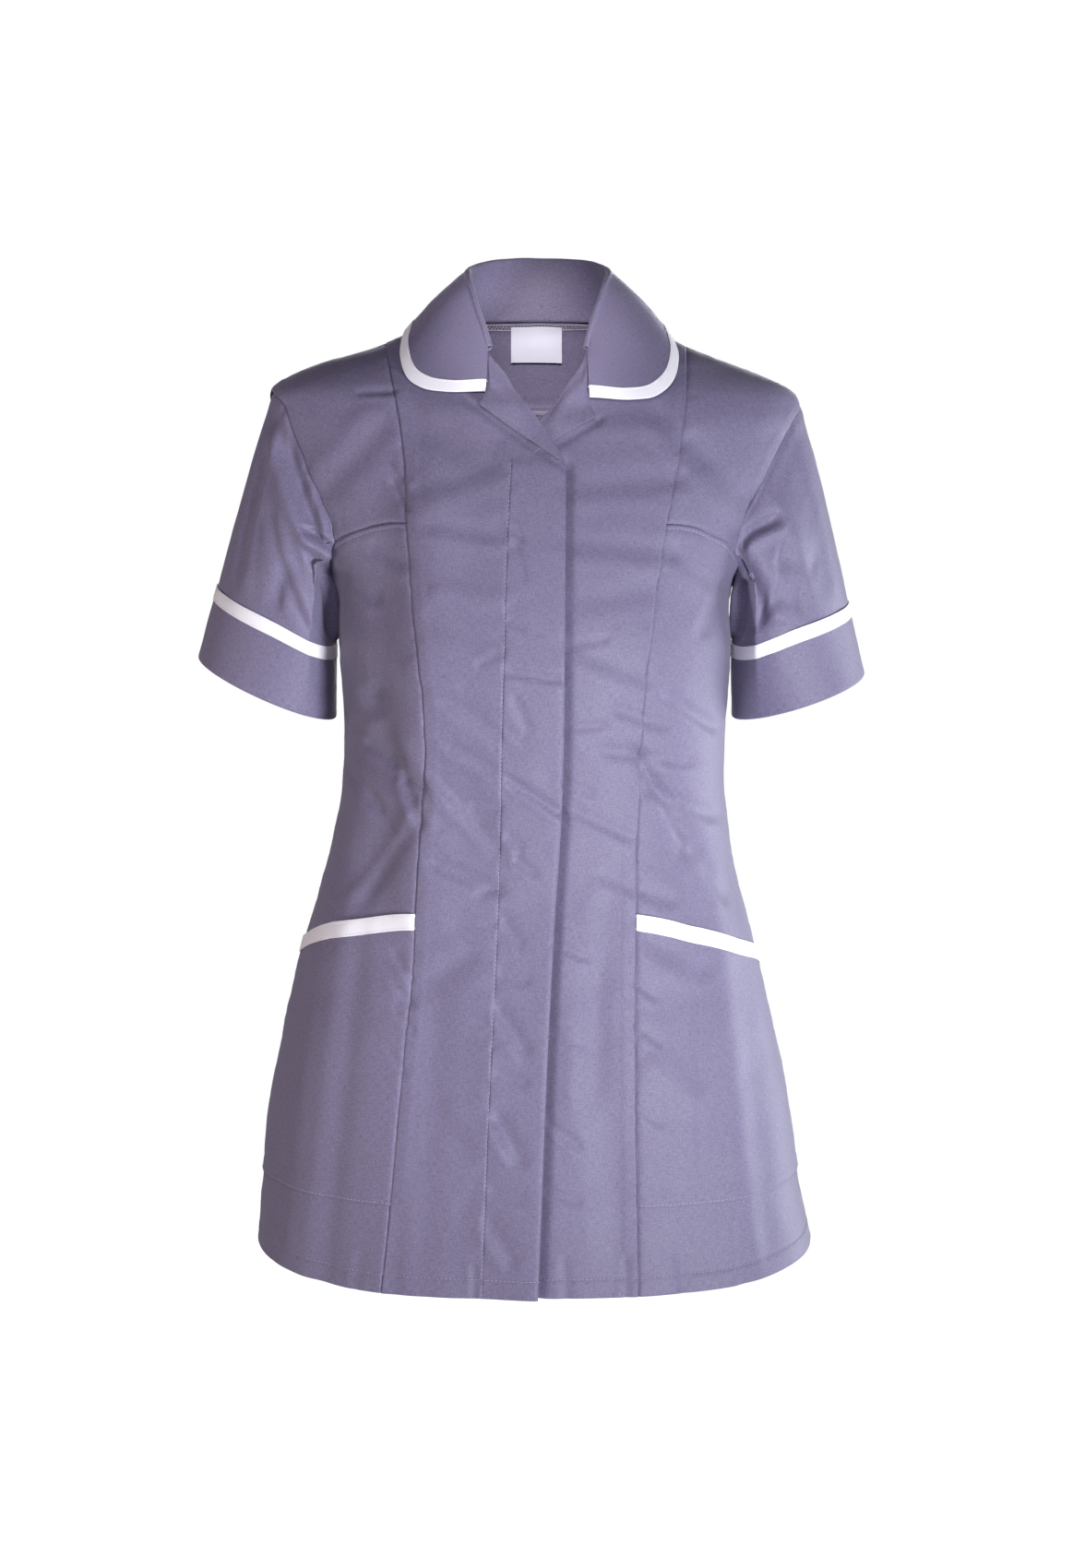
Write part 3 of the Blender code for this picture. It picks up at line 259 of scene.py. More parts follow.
CREASES = {
    "front": (
        # down the right princess seam
        (-74, -140, -78, -400, 26, -7.0),
        # on the placket, from the break to the hem
        (-17, -142, -11, -149, 2.4, 2.1),
        (-16, -152, -9, -174, 3.0, 1.3),
        (-19, -205, -9, -212, 2.6, 1.7),
        (-18, -242, 14, -247, 2.8, 2.7),
        (-15, -262, -6, -282, 4.4, 1.1),
        (-20, -284, -10, -290, 2.6, 1.2),
        (-19, -320, 17, -344, 3.2, 2.8),
        (-20, -361, -12, -368, 4.0, 1.6),
        (-14, -378, -2, -388, 3.6, 2.1),
        (-22, -424, -12, -440, 4.0, 1.4),
        (-24, -462, -8, -466, 4.6, 1.5),
        (-26, -488, -9, -514, 5.4, 2.4),
        (-28, -532, -10, -540, 5.0, 1.7),
        (-27, -566, -12, -594, 6.0, 2.6),
        (-31, -618, -12, -624, 5.4, 1.6),
        (-34, -642, -18, -668, 6.0, 2.4),
        # beside the placket
        (-35, -599, -53, -634, 6.0, 0.7),
        (-30, -470, -46, -478, 6.0, 0.6),
        (-27, -398, -42, -404, 3.6, 1.3),
        (-24, -228, -40, -236, 3.4, 1.3),
        (-26, -340, -44, -338, 3.6, 1.4),
        # beside the fly
        (24, -223, 48, -219, 3.2, 1.3),
        (22, -283, 46, -281, 3.0, 1.7),
        (20, -322, 38, -330, 3.4, 1.4),
        (14, -441, 36, -450, 3.2, 1.7),
        (12, -505, 30, -512, 3.4, 1.1),
        (10, -570, 30, -586, 3.2, 1.7),
        (8, -620, 28, -627, 3.0, 1.5),
        # at the waist
        (-128, -301, -106, -312, 3.6, 2.1),
        (-99, -319, -80, -326, 3.2, 2.1),
        (-96, -324, -82, -352, 4.2, 2.4),
        (-84, -352, -127, -412, 6.0, 1.6),
        (-124, -340, -104, -358, 5.0, 1.3),
        (-66, -322, -30, -368, 6.0, 2.3),
        (-72, -381, -30, -399, 5.4, 2.0),
        (-60, -296, -32, -312, 4.6, 1.7),
        (-140, -322, -118, -344, 3.8, 2.2),
        (74, -306, 105, -358, 5.0, 2.6),
        (52, -300, 108, -310, 5.0, 1.7),
        (84, -330, 128, -352, 5.4, 2.2),
        (30, -344, 66, -362, 5.0, 1.8),
        (96, -262, 128, -286, 4.8, 2.2),
        (60, -270, 92, -282, 5.0, 1.8),
        (52, -392, 96, -410, 6.0, 1.4),
        (118, -378, 138, -412, 5.0, 1.8),
        # shoulders and chest
        (-127, -44, -104, -43, 2.8, 1.7),
        (-104, -109, -93, -126, 2.8, 2.0),
        (-101, -97, -90, -111, 2.6, -1.4),
        (-72, -139, -28, -144, 7, 1.5),
        (26, -56, 102, -60, 9, 1.3),
        (26, -110, 98, -105, 9, 1.5),
        (28, -150, 96, -157, 8, 1.4),
        (30, -190, 78, -184, 9, 0.9),
        (-66, -186, -26, -192, 7, -1.4),
        (-92, -62, -36, -90, 12, 1.0),
        (-78, -112, -32, -98, 9, 1.1),
        (-88, -240, -58, -254, 7, -1.4),
        (-70, -206, -30, -222, 9, 1.7),
        (30, -225, 76, -246, 8, 1.6),
        (-60, -262, -28, -286, 7, 1.6),
        (-112, -70, -150, -112, 10, 2.0),
        (-118, -156, -92, -166, 6, 1.4),
        (-142, -176, -118, -192, 6, 1.7),
        (112, -80, 160, -128, 10, 2.0),
        (100, -160, 134, -184, 7, 1.6),
        (146, -180, 122, -214, 7, 1.6),
        (88, -60, 120, -92, 9, 1.4),
        (-156, -210, -132, -250, 7, 1.5),
        # at the pockets
        (-103, -450, -91, -466, 2.8, 2.0),
        (-104, -470, -92, -484, 2.8, 1.8),
        (-102, -488, -90, -503, 2.8, 1.8),
        (-106, -520, -96, -534, 3.0, 1.3),
        (73, -470, 86, -480, 3.0, 1.5),
        (73, -500, 88, -512, 3.0, 1.4),
        (74, -560, 90, -572, 3.2, 1.4),
        # down the skirt
        (-131, -464, -158, -694, 9, 2.0),
        (116, -484, 117, -586, 3, 0.8),
        (84, -440, 122, -462, 9, 1.6),
        (84, -530, 118, -556, 10, -1.5),
        (-50, -450, -92, -478, 9, 1.7),
        (-58, -560, -30, -590, 10, -1.5),
        (-165, -300, -120, -268, 9, 2.3),
        (-30, -520, -36, -664, 15, -1.7),
        (100, -640, 108, -560, 17, -1.7),
        (40, -470, 60, -660, 13, 1.6),
        (-72, -500, -80, -660, 12, 1.6),
        (148, -420, 168, -640, 10, 1.8),
        (-172, -430, -190, -640, 9, 1.8),
        (52, -420, 40, -540, 10, 1.4),
        # at the hem
        (-45, -676, -45, -694, 3, 1.4),
        (65, -672, 65, -697, 3, 1.3),
        (-100, -640, -104, -690, 6, 1.3),
        (150, -640, 153, -694, 6, 1.4),
        (-128, -668, -132, -692, 4, 1.1),
        (20, -672, 22, -698, 4, 1.1),
        (104, -670, 108, -694, 4, 1.3),
    ),
    "back": (
        # shoulders and back
        (-10, -110, 60, -118, 8, 2.0),
        (60, -120, 118, -110, 8, -1.6),
        (-80, -170, -20, -176, 10, 2.4),
        (100, -190, 40, -200, 12, 2.0),
        (20, -220, -50, -228, 11, -1.7),
        (-110, -400, -60, -420, 12, 2.0),
        (-30, -430, 20, -446, 11, 1.7),
        (70, -520, 108, -560, 14, -1.7),
        # at the waist
        (-74, -300, -110, -322, 5, 2.8),
        (74, -306, 112, -326, 5, 3.1),
        (-70, -352, -20, -366, 5, 2.4),
        (70, -340, 24, -362, 5, 2.4),
        (-80, -384, -126, -402, 6, 1.8),
        (80, -378, 128, -404, 6, 1.8),
        (-40, -250, 20, -262, 8, 1.6),
        (-150, -130, -110, -180, 9, 1.8),
        (150, -130, 108, -176, 9, 1.8),
        # down the skirt
        (-60, -500, -68, -650, 14, 1.7),
        (52, -510, 60, -660, 14, 1.6),
        (0, -480, -6, -640, 15, -1.5),
        (130, -470, 150, -660, 12, 1.5),
        (-132, -460, -152, -660, 12, 1.5),
    ),
}
REVER_HOLLOWS = {
    "front": (
        (-42, -56, 19, -97, 3.4, 1.9),
        (43, -65, 10, -83, 3.6, 2.0),
        (45, -62, 41, -48, 3.0, 1.4),
    ),
}
EDGE_RELIEF = {
    "kind": ("over", "under", "hem", "lip", "sewn", "stitched", "tape", "free"),
    "sink": (0.85, 1.25, 0.35, 1.2, 0.9, 0.85, 0.12, 0.2),
    "reach": (0.6, 1.5, 0.6, 1.2, 0.9, 0.6, 0.4, 0.5),
    "raised": (0.4, 0.0, 0.35, 0.0, 0.15, 0.4, 0.0, 0.0),
    "band": (10, 1, 14, 1, 6, 10, 1, 1),
    "stitch": (0, 0, 14, 0, 0, 3.2, 1.6, 0),
    "groove": (0, 0, 0.35, 0, 0, 0.35, 0.2, 0),
    "pucker": (0.6, 0.8, 0.4, 0.1, 0.5, 0.5, 0.12, 0.1),
    "pucker_reach": (8, 9, 8, 6, 9, 8, 5, 6),
}


def spline(at, knots, values):
    """Smooth curve through values at rising knots, read at the given places."""
    at, knots, values = np.asarray(at, float), np.asarray(knots, float), np.asarray(values, float)
    slopes = np.gradient(values, knots, axis=0)
    left = np.clip(np.searchsorted(knots, at) - 1, 0, len(knots) - 2)
    span = knots[left + 1] - knots[left]
    t = (at - knots[left]) / span
    if values.ndim > 1:
        t, span = t[..., None], span[..., None]
    return (
        (1 + 2 * t) * (1 - t) ** 2 * values[left]
        + t * (1 - t) ** 2 * span * slopes[left]
        + t * t * (3 - 2 * t) * values[left + 1]
        + t * t * (t - 1) * span * slopes[left + 1]
    )


def smoothstep(t):
    t = np.clip(t, 0, 1)
    return t * t * (3 - 2 * t)


def ring(z):
    heights = BODY_RINGS["z"][::-1]
    sizes = [spline(z, heights, BODY_RINGS[side][::-1]) for side in ("right", "left", "front", "back")]
    squarer = smoothstep((ROUND_ABOVE_Z - z) / (ROUND_ABOVE_Z - SQUARER_BELOW_Z))
    return (*sizes, 2 + SQUARER_BY * squarer)


def plain_body(angle, z):
    """Point of the body's smooth form. The angle runs from the front centre towards +X."""
    right, left, front, back, power = ring(z)
    across, ahead = np.sin(angle), np.cos(angle)
    width = np.where(across < 0, right, left)
    depth = np.where(ahead > 0, front, back)
    x = width * np.sign(across) * np.abs(across) ** (2 / power)
    y = -depth * np.sign(ahead) * np.abs(ahead) ** (2 / power)
    return np.stack(np.broadcast_arrays(x, y, z), -1)


def in_place(grid):
    """Points of the body's smooth form for a grid or a line of (angle, z)."""
    return plain_body(grid[..., 0], grid[..., 1])


def body_slopes(angle, z):
    around = plain_body(angle + SMALL_TURN, z) - plain_body(angle - SMALL_TURN, z)
    upward = plain_body(angle, z + SMALL_RISE) - plain_body(angle, z - SMALL_RISE)
    return around / (2 * SMALL_TURN), upward / (2 * SMALL_RISE)


def body_normal(angle, z):
    around, upward = body_slopes(angle, z)
    return unit(np.cross(around, upward))


def hump(away, width):
    """1 on a line, dying away softly to both sides of it."""
    return np.exp(-((away / width) ** 2))


def troughs(rows, x, z, ridge_share, narrowing=END_NARROWING):
    """How far folds move a surface outwards. A trough has a ridge on one side and fades at its ends."""
    total = np.zeros(np.broadcast(x, z).shape)
    for row in rows:
        fold = dict(zip(FOLD_COLUMNS, row))
        run, rise = fold["to x"] - fold["x"], fold["to z"] - fold["z"]
        length = math.hypot(run, rise)
        from_x, from_z = x - fold["x"], z - fold["z"]
        along = (from_x * run + from_z * rise) / length**2
        past_end = np.maximum(np.maximum(-along, along - 1), 0) * length
        fade = smoothstep(1 - past_end / max(0.3 * length, 1.4 * fold["width"]))
        half_width = fold["width"] * (1 - narrowing * (1 - fade))
        across = (from_x * rise - from_z * run) / length / half_width
        ridge = ridge_share * np.exp(-((across - 1.5) ** 2) / 0.6)
        total = total - fold["depth"] * (np.exp(-(across**2)) - ridge) * fade
    return total


def body_troughs(table, point, ridge_share):
    """The folds of the front and of the back, each on its own side of the body."""
    x, y, z = point[..., 0], point[..., 1], point[..., 2]
    ahead = {"front": -y, "back": y}
    return sum(troughs(rows, x, z, ridge_share) * smoothstep(ahead[side] / FRONT_TURNS_BACK_OVER)
               for side, rows in table.items())


def soft_noise(points, wavelength, seed, waves=16):
    """Smooth unevenness, about 1 at most, from waves in many directions."""
    random = np.random.default_rng(seed)
    total = np.zeros(points.shape[:-1])
    for _ in range(waves):
        direction = unit(random.normal(size=3)) * 2 * math.pi / (wavelength * random.uniform(0.7, 1.6))
        total += np.sin(points @ direction + random.uniform(0, 2 * math.pi))
    return total / math.sqrt(2 * waves)


def hanging_waves(point):
    """Soft upright waves that grow towards the hem."""
    angle = np.arctan2(point[..., 0], -point[..., 1])
    wave = sum(height * np.sin(count * angle + start) for height, count, start in zip(*HEM_WAVES.values()))
    return wave * smoothstep((HEM_WAVES_FROM_Z - point[..., 2]) / HEM_WAVES_OVER)


def body_relief(point):
    """The large folds of the solids, and over them creases, waves and unevenness."""
    lying = point * (0.45, 0.45, 1)
    uneven = 0.75 * soft_noise(lying, 52, 3)
    uneven = uneven + 0.22 * soft_noise(point, 24, 4) + 0.07 * soft_noise(point, 9, 5)
    folded = body_troughs(FOLDS, point, 0) + body_troughs(CREASES, point, RIDGE_SHARE)
    return folded + hanging_waves(point) + uneven


def angle_at(x, z, behind=False):
    """Angle of the body's point at a distance across, in front or behind."""
    right, left, _, _, power = ring(np.asarray(z, float))
    share = np.clip(np.abs(x) / np.where(np.asarray(x) < 0, right, left), 0, 1)
    angle = np.sign(x) * np.arcsin(share ** (power / 2))
    return np.where(behind, np.pi - angle, angle)


def travelled(points):
    return np.concatenate([[0], np.cumsum(np.linalg.norm(np.diff(points, axis=0), axis=1))])


def sampled(points, count, places=None):
    """count squares of the solids' grid, each cut finer, along a smooth curve of (angle, z)."""
    points = np.asarray(points, float)
    knots = travelled(in_place(points))
    fine = np.linspace(0, knots[-1], CURVE_STEPS * count + 1)
    if len(points) > 2:
        curve = spline(fine, knots, points)
    else:
        curve = points[0] + (points[1] - points[0]) * (fine / knots[-1])[:, None]
    length = travelled(in_place(curve))
    even = np.linspace(0, 1, FINE * count + 1)
    if places is not None:
        even = np.interp(even, np.linspace(0, 1, len(places)), places)
    return np.stack([np.interp(even * length[-1], length, curve[:, k]) for k in (0, 1)], 1)


def on_surface(table, behind=False):
    x, z = (np.asarray(table[key], float) for key in ("x", "z"))
    return np.stack([angle_at(x, z, behind), z], 1)


def in_order(side, outer, inner):
    """An outer and an inner thing of a right or left piece, the one towards the tunic's right first."""
    return (outer, inner) if side == "right" else (inner, outer)


def turned_for(side, line):
    """A line from the outside inwards, turned if need be to run from the tunic's right to its left."""
    return line if side == "right" else line[::-1]


def joined(*stretches):
    return np.concatenate([stretches[0]] + [stretch[1:] for stretch in stretches[1:]])


def across_at(table, z):
    return spline(z, table["z"], table["x"])


def upright(table, z):
    """Where an upright line of the fronts lies across. Above its end it goes straight up."""
    return across_at(table, np.minimum(z, table["z"][-1]))


def hem_z(angle):
    return HEM_SIDE_Z - HEM_DIP * (1 - np.sin(angle) ** 4)


def between_levels(levels):
    return joined(*[np.linspace(low, high, FINE * count + 1)
                    for low, high, count in zip(levels, levels[1:], ROW_LEVELS["rows"])])


def level_rows(table, levels):
    z_at_hem = hem_z(angle_at(across_at(table, HEM_SIDE_Z), HEM_SIDE_Z))
    z = between_levels([z_at_hem if level is None else level for level in levels])
    return np.stack([angle_at(across_at(table, z), z), z], 1)


def hem_between(start, end, count):
    angles = sampled([(start, HEM_SIDE_Z), (end, HEM_SIDE_Z)], count)[:, 0]
    return np.stack([angles, hem_z(angles)], 1)


def patch(bottom, top, left, right):
    """Grid filled in between four edges, rows from the bottom up."""
    u = np.linspace(0, 1, len(bottom))[None, :, None]
    v = np.linspace(0, 1, len(left))[:, None, None]
    rows = (1 - v) * bottom[None] + v * top[None]
    columns = (1 - u) * left[:, None] + u * right[:, None]
    corners = ((1 - u) * (1 - v) * bottom[0] + u * (1 - v) * bottom[-1]
               + (1 - u) * v * top[0] + u * v * top[-1])
    return rows + columns - corners


def edge_sizes(kind):
    row = EDGE_RELIEF["kind"].index(kind)
    return {key: values[row] for key, values in EDGE_RELIEF.items()}


def near_lines(kind):
    """Distances from an edge at which a piece needs closer lines: its roll, and its stitches."""
    stitch = edge_sizes(kind)["stitch"]
    return NEAR_EDGE + (tuple(stitch + d for d in (-1.2, -0.4, 0.4, 1.2)) if stitch else ())


def closer(grid, points, axis, first, last, inside=()):
    """The grid with lines added at distances from its two edges, and beside lines inside it."""
    points = np.moveaxis(points, axis, 0)
    end = len(points) - 1
    first_gap = np.linalg.norm(points[1] - points[0], axis=-1).mean()
    last_gap = np.linalg.norm(points[-1] - points[-2], axis=-1).mean()
    near = [d / first_gap for d in first] + [end - d / last_gap for d in last]
    near += [k + sign * d / first_gap for k in inside for d in NEAR_EDGE[1:] for sign in (-1, 1)]
    near += list(inside)
    between = [k for k in range(end + 1) if min(abs(k - place) for place in near) > 0.45]
    places = np.sort(np.array(near + between))
    low = np.clip(np.floor(places).astype(int), 0, end - 1)
    share = (places - low).reshape([-1 if k == axis else 1 for k in range(grid.ndim)])
    return np.take(grid, low, axis) * (1 - share) + np.take(grid, low + 1, axis) * share


def distances(points):
    """How far each point of a grid lies from its left, right, bottom and top edges, in millimetres."""
    across = np.linalg.norm(np.diff(points, axis=1), axis=2).cumsum(1)
    across = np.concatenate([np.zeros_like(across[:, :1]), across], 1)
    upward = np.linalg.norm(np.diff(points, axis=0), axis=2).cumsum(0)
    upward = np.concatenate([np.zeros_like(upward[:1]), upward], 0)
    return {"left": across, "right": across[:, -1:] - across, "bottom": upward, "top": upward[-1:] - upward}


def puckers(away, along, reach, seed, spacing=17):
    """Short uneven hollows and ridges that run off a line of stitches, about 1 deep at most."""
    random = np.random.default_rng(seed)
    length = float(along.max())
    total = np.zeros(np.broadcast(away, along).shape)
    place = along.min() + random.uniform(0, spacing)
    while place < length:
        lean = random.uniform(-0.5, 0.5)
        width = random.uniform(1.8, 4.2)
        long = reach * random.uniform(0.5, 1.3)
        deep = random.uniform(0.35, 1.0) * random.choice([1, 1, -0.6])
        row = hump(along - place - lean * away, width * (1 + away / (2 * reach)))
        total -= deep * row * hump(away, long)
        place += spacing * random.uniform(0.35, 1.6)
    return total


def edge_relief(away, along, kind, seed):
    """How a seam, hem or fold shapes the cloth beside it: rolled in, raised by its allowance, drawn
    down by its stitches and puckered."""
    size = edge_sizes(kind)
    rolled = -size["sink"] * hump(away, size["reach"])
    raised = size["raised"] * smoothstep((size["band"] - away) / 1.6 + 0.5)
    groove = -size["groove"] * hump(away - size["stitch"], 0.8)
    pucker = size["pucker"] * puckers(away, along, size["pucker_reach"], seed)
    return rolled + raised + groove + pucker * smoothstep(away / 0.8)


def all_edges_relief(far, edges, seed):
    total = 0.0
    for place, (side, kind) in enumerate(zip(SIDES, edges)):
        along = far["bottom"] if side in ("left", "right") else far["left"]
        total = total + edge_relief(far[side], along, kind, seed * 10 + place)
    return total


def cloth_mesh(name, outer, inner, far, material, closed=False):
    """A thin closed shell between two grids of points, with its flat cut in metres as its UV map."""
    rows, columns = outer.shape[:2]
    wide = columns + 1 if closed else columns
    place = np.arange(rows * wide).reshape(rows, wide)
    vertex = (np.arange(rows)[:, None] * columns + np.arange(wide)[None] % columns).ravel()
    square = np.stack([place[:-1, :-1], place[:-1, 1:], place[1:, 1:], place[1:, :-1]], -1).reshape(-1, 4)
    behind = rows * wide

    def rim(line):
        return np.stack([line[1:], line[:-1], line[:-1] + behind, line[1:] + behind], -1)

    faces = [square, square[:, ::-1] + behind, rim(place[0]), rim(place[-1][::-1])]
    if not closed:
        faces += [rim(place[:, 0][::-1]), rim(place[:, -1])]
    corners = np.concatenate(faces).ravel()
    vertices = np.concatenate([vertex, vertex + rows * columns])[corners]
    points = np.concatenate([outer.reshape(-1, 3), inner.reshape(-1, 3)]) * MM
    quads = points[vertices.reshape(-1, 4)]
    volume = sum(np.einsum("ij,ij->i", quads[:, 0], np.cross(quads[:, k], quads[:, k + 1])).sum()
                 for k in (1, 2))
    across = far["left"] - far["left"][:, far["left"].shape[1] // 2, None]
    flat = np.stack([across, far["bottom"]], -1).reshape(-1, 2) * MM
    cut = np.concatenate([flat, flat])[corners]
    if volume < 0:
        vertices = vertices.reshape(-1, 4)[:, ::-1].ravel()
        cut = cut.reshape(-1, 4, 2)[:, ::-1].reshape(-1, 2)
    mesh = bpy.data.meshes.new(name)
    mesh.vertices.add(len(points))
    mesh.vertices.foreach_set("co", points.ravel())
    mesh.loops.add(len(vertices))
    mesh.loops.foreach_set("vertex_index", vertices.astype(np.int32))
    mesh.polygons.add(len(vertices) // 4)
    mesh.polygons.foreach_set("loop_start", np.arange(0, len(vertices), 4, dtype=np.int32))
    mesh.update(calc_edges=True)
    mesh.uv_layers.new(name="cut").data.foreach_set("uv", cut.ravel())
    mesh.validate()
    mesh.shade_smooth()
    mesh.materials.append(material)
    piece = bpy.data.objects.new(name, mesh)
    bpy.context.scene.collection.objects.link(piece)
    return piece


def hang(name, solid, points, normals, far, raised, wall, material, closed=False):
    """A piece of cloth raised over smooth points, in place of its solid. The size that it is cut to is worked
    out but not used.
    """
    outer = points + normals * raised[..., None]
    piece = cloth_mesh(name, outer, outer - normals * wall[..., None], far, material, closed)
    cut = np.concatenate([points, points[:, :1]], 1) if closed else points
    sides = [cut[:-1, 1:] - cut[:-1, :-1], cut[1:, :-1] - cut[:-1, :-1]]
    area = np.linalg.norm(np.cross(*sides), axis=-1).sum() * MM**2
    width = np.linalg.norm(np.diff(cut, axis=1), axis=2).sum(1).max() * MM
    length = np.linalg.norm(np.diff(cut, axis=0), axis=2).sum(0).max() * MM
    width = min(width, 2 * area / length)
    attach(piece, "root")
    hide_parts(solid)
    far = {key: value[:, :points.shape[1]] for key, value in far.items()}
    return {"points": points, "outer": outer, "far": far, "normals": normals}


def line_where(points, field, level):
    """The line across the columns on which a field that grows up them has one level."""
    line = []
    for column, values in enumerate(field.T):
        row = np.searchsorted(values, level)
        if 0 < row < len(values):
            share = (level - values[row - 1]) / (values[row] - values[row - 1])
            line.append(points[row - 1, column] * (1 - share) + points[row, column] * share)
    return np.array(line)


def edge_thickness(far, edges, thickness):
    """Thickness of a piece that is thicker at its hem and rounded at its free edges."""
    total = np.full_like(far["left"], thickness)
    for side, kind in zip(SIDES, edges):
        if kind == "hem":
            total = total + 0.6 * smoothstep((HEM_DEPTH + 1 - far[side]) / 2)
    for side, kind in zip(SIDES, edges):
        if kind in ("hem", "lip", "free", "tape"):
            total = total * (1 - 0.55 * hump(far[side], 0.6))
    return total


def body_piece(name, solid, grid, edges, seed, lift=0.0, thickness=CLOTH, material=None,
               relief=None, inside=()):
    """A piece of the body: its smooth place, the shared folds, its own edges, and its thin shell. Its
    lift and thickness are numbers, or worked out from its grid and the distances from its edges."""
    left, right, bottom, top = (near_lines(kind) for kind in edges)
    grid = closer(grid, in_place(grid), 1, left, right, inside)
    grid = closer(grid, in_place(grid), 0, bottom, top)
    points = in_place(grid)
    far = distances(points)
    raised = body_relief(points) + all_edges_relief(far, edges, seed)
    raised = raised + (lift(grid, far) if callable(lift) else lift)
    if relief is not None:
        raised = raised + relief(points, far)
    wall = thickness(grid, far) if callable(thickness) else edge_thickness(far, edges, thickness)
    return hang(name, solid, points, body_normal(grid[..., 0], grid[..., 1]), far, raised, wall,
                material or cloth)


def line_at(made, side, distance, above):
    """A line at a distance from a piece's top or bottom edge, above its outer face or below it."""
    points, away = made["outer"] + made["normals"] * above, made["far"][side]
    if side == "top":
        points, away = points[::-1], away[::-1]
    return line_where(points, away, distance)


def stitch_line(made, side, distance=None, kind=None, share=(0, 1)):
    """The line of stitches at a distance from one edge of a piece, or where that kind of edge has it."""
    if distance is None:
        distance = edge_sizes(kind)["stitch"]
    line = line_at(made, side, distance, STITCH_RISE)
    return line[int(share[0] * len(line)):math.ceil(share[1] * len(line))]


def thread_tree(name, *inputs):
    """An empty geometry tree for threads, and its named inputs."""
    tree = bpy.data.node_groups.new(name, "GeometryNodeTree")
    tree.is_modifier = True
    for label, kind in (("Lines", "Geometry"), *inputs, ("Thickness", "Float"), ("Finish", "Material")):
        tree.interface.new_socket(label, in_out="INPUT", socket_type="NodeSocket" + kind)
    tree.interface.new_socket("Thread", in_out="OUTPUT", socket_type="NodeSocketGeometry")
    return tree, tree.nodes.new("NodeGroupInput").outputs


def finished(tree, given, thread):
    """The tree with its thread made real and in its material."""
    whole = node(tree, "GeometryNodeRealizeInstances", {"Geometry": thread}).outputs[0]
    finish = node(tree, "GeometryNodeSetMaterial", {"Geometry": whole, "Material": given["Finish"]})
    node(tree, "NodeGroupOutput", {"Thread": finish.outputs[0]})
    return tree


def stitch_row_tree():
    """Rows of stitches: a small round-ended thread at every pitch along each line."""
    tree, given = thread_tree("stitch row", ("Pitch", "Float"), ("Length", "Float"))
    curve = node(tree, "GeometryNodeMeshToCurve", {"Mesh": given["Lines"]}).outputs[0]
    spaced = node(tree, "GeometryNodeResampleCurve", {"Curve": curve, "Length": given["Pitch"]},
                  mode="LENGTH")
    bead = node(tree, "GeometryNodeMeshUVSphere", {"Segments": 6, "Rings": 4, "Radius": 0.5}).outputs["Mesh"]
    smooth = node(tree, "GeometryNodeSetShadeSmooth", {"Geometry": bead})
    along = node(tree, "GeometryNodeInputTangent").outputs[0]
    turned = node(tree, "FunctionNodeAlignRotationToVector", {"Vector": along}, axis="Z")
    sized = node(tree, "ShaderNodeCombineXYZ", {
        "X": given["Thickness"], "Y": given["Thickness"], "Z": given["Length"]})
    placed = node(tree, "GeometryNodeInstanceOnPoints", {
        "Points": spaced.outputs[0], "Instance": smooth.outputs[0], "Rotation": turned.outputs[0],
        "Scale": sized.outputs[0]})
    return finished(tree, given, placed.outputs[0])


def thread_path_tree():
    """A thread laid along each line."""
    tree, given = thread_tree("thread path")
    curve = node(tree, "GeometryNodeMeshToCurve", {"Mesh": given["Lines"]}).outputs[0]
    radius = reckoned(tree, "MULTIPLY", given["Thickness"], 0.5)
    section = node(tree, "GeometryNodeCurvePrimitiveCircle", {"Resolution": 5, "Radius": radius}).outputs[0]
    laid = node(tree, "GeometryNodeCurveToMesh", {
        "Curve": curve, "Profile Curve": section, "Fill Caps": True})
    smooth = node(tree, "GeometryNodeSetShadeSmooth", {"Geometry": laid.outputs[0]})
    return finished(tree, given, smooth.outputs[0])


STITCH_RISE = 0.16
STITCH_SIZES = {"Pitch": 3.1, "Length": 2.5, "Thickness": 0.5}
stitch_row = stitch_row_tree()
thread_path = thread_path_tree()


def threads(name, lines, tree, sizes, thread):
    """Open lines of points, in millimetres, grown into thread by a node tree, as one plain mesh."""
    mesh = bpy.data.meshes.new(name)
    starts = np.cumsum([0] + [len(line) for line in lines])
    edges = [(k, k + 1) for low, high in zip(starts, starts[1:]) for k in range(low, high - 1)]
    mesh.from_pydata((np.concatenate(lines) * MM).tolist(), edges, [])
    piece = bpy.data.objects.new(name, mesh)
    bpy.context.scene.collection.objects.link(piece)
    modifier = piece.modifiers.new(tree.name, "NODES")
    modifier.node_group = tree
    values = {"Finish": thread, **{key: size * MM for key, size in sizes.items()}}
    for socket in tree.interface.items_tree:
        if socket.in_out == "INPUT" and socket.name in values:
            modifier[socket.identifier] = values[socket.name]
    bpy.context.view_layer.update()
    grown = bpy.data.meshes.new_from_object(piece.evaluated_get(bpy.context.evaluated_depsgraph_get()))
    piece.modifiers.remove(modifier)
    piece.data = grown
    grown.name = name
    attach(piece, "root")


def sew(name, lines, thread):
    """Rows of stitches along lines, as one piece."""
    threads(name, [line for line in lines if len(line) > 1], stitch_row, STITCH_SIZES, thread)


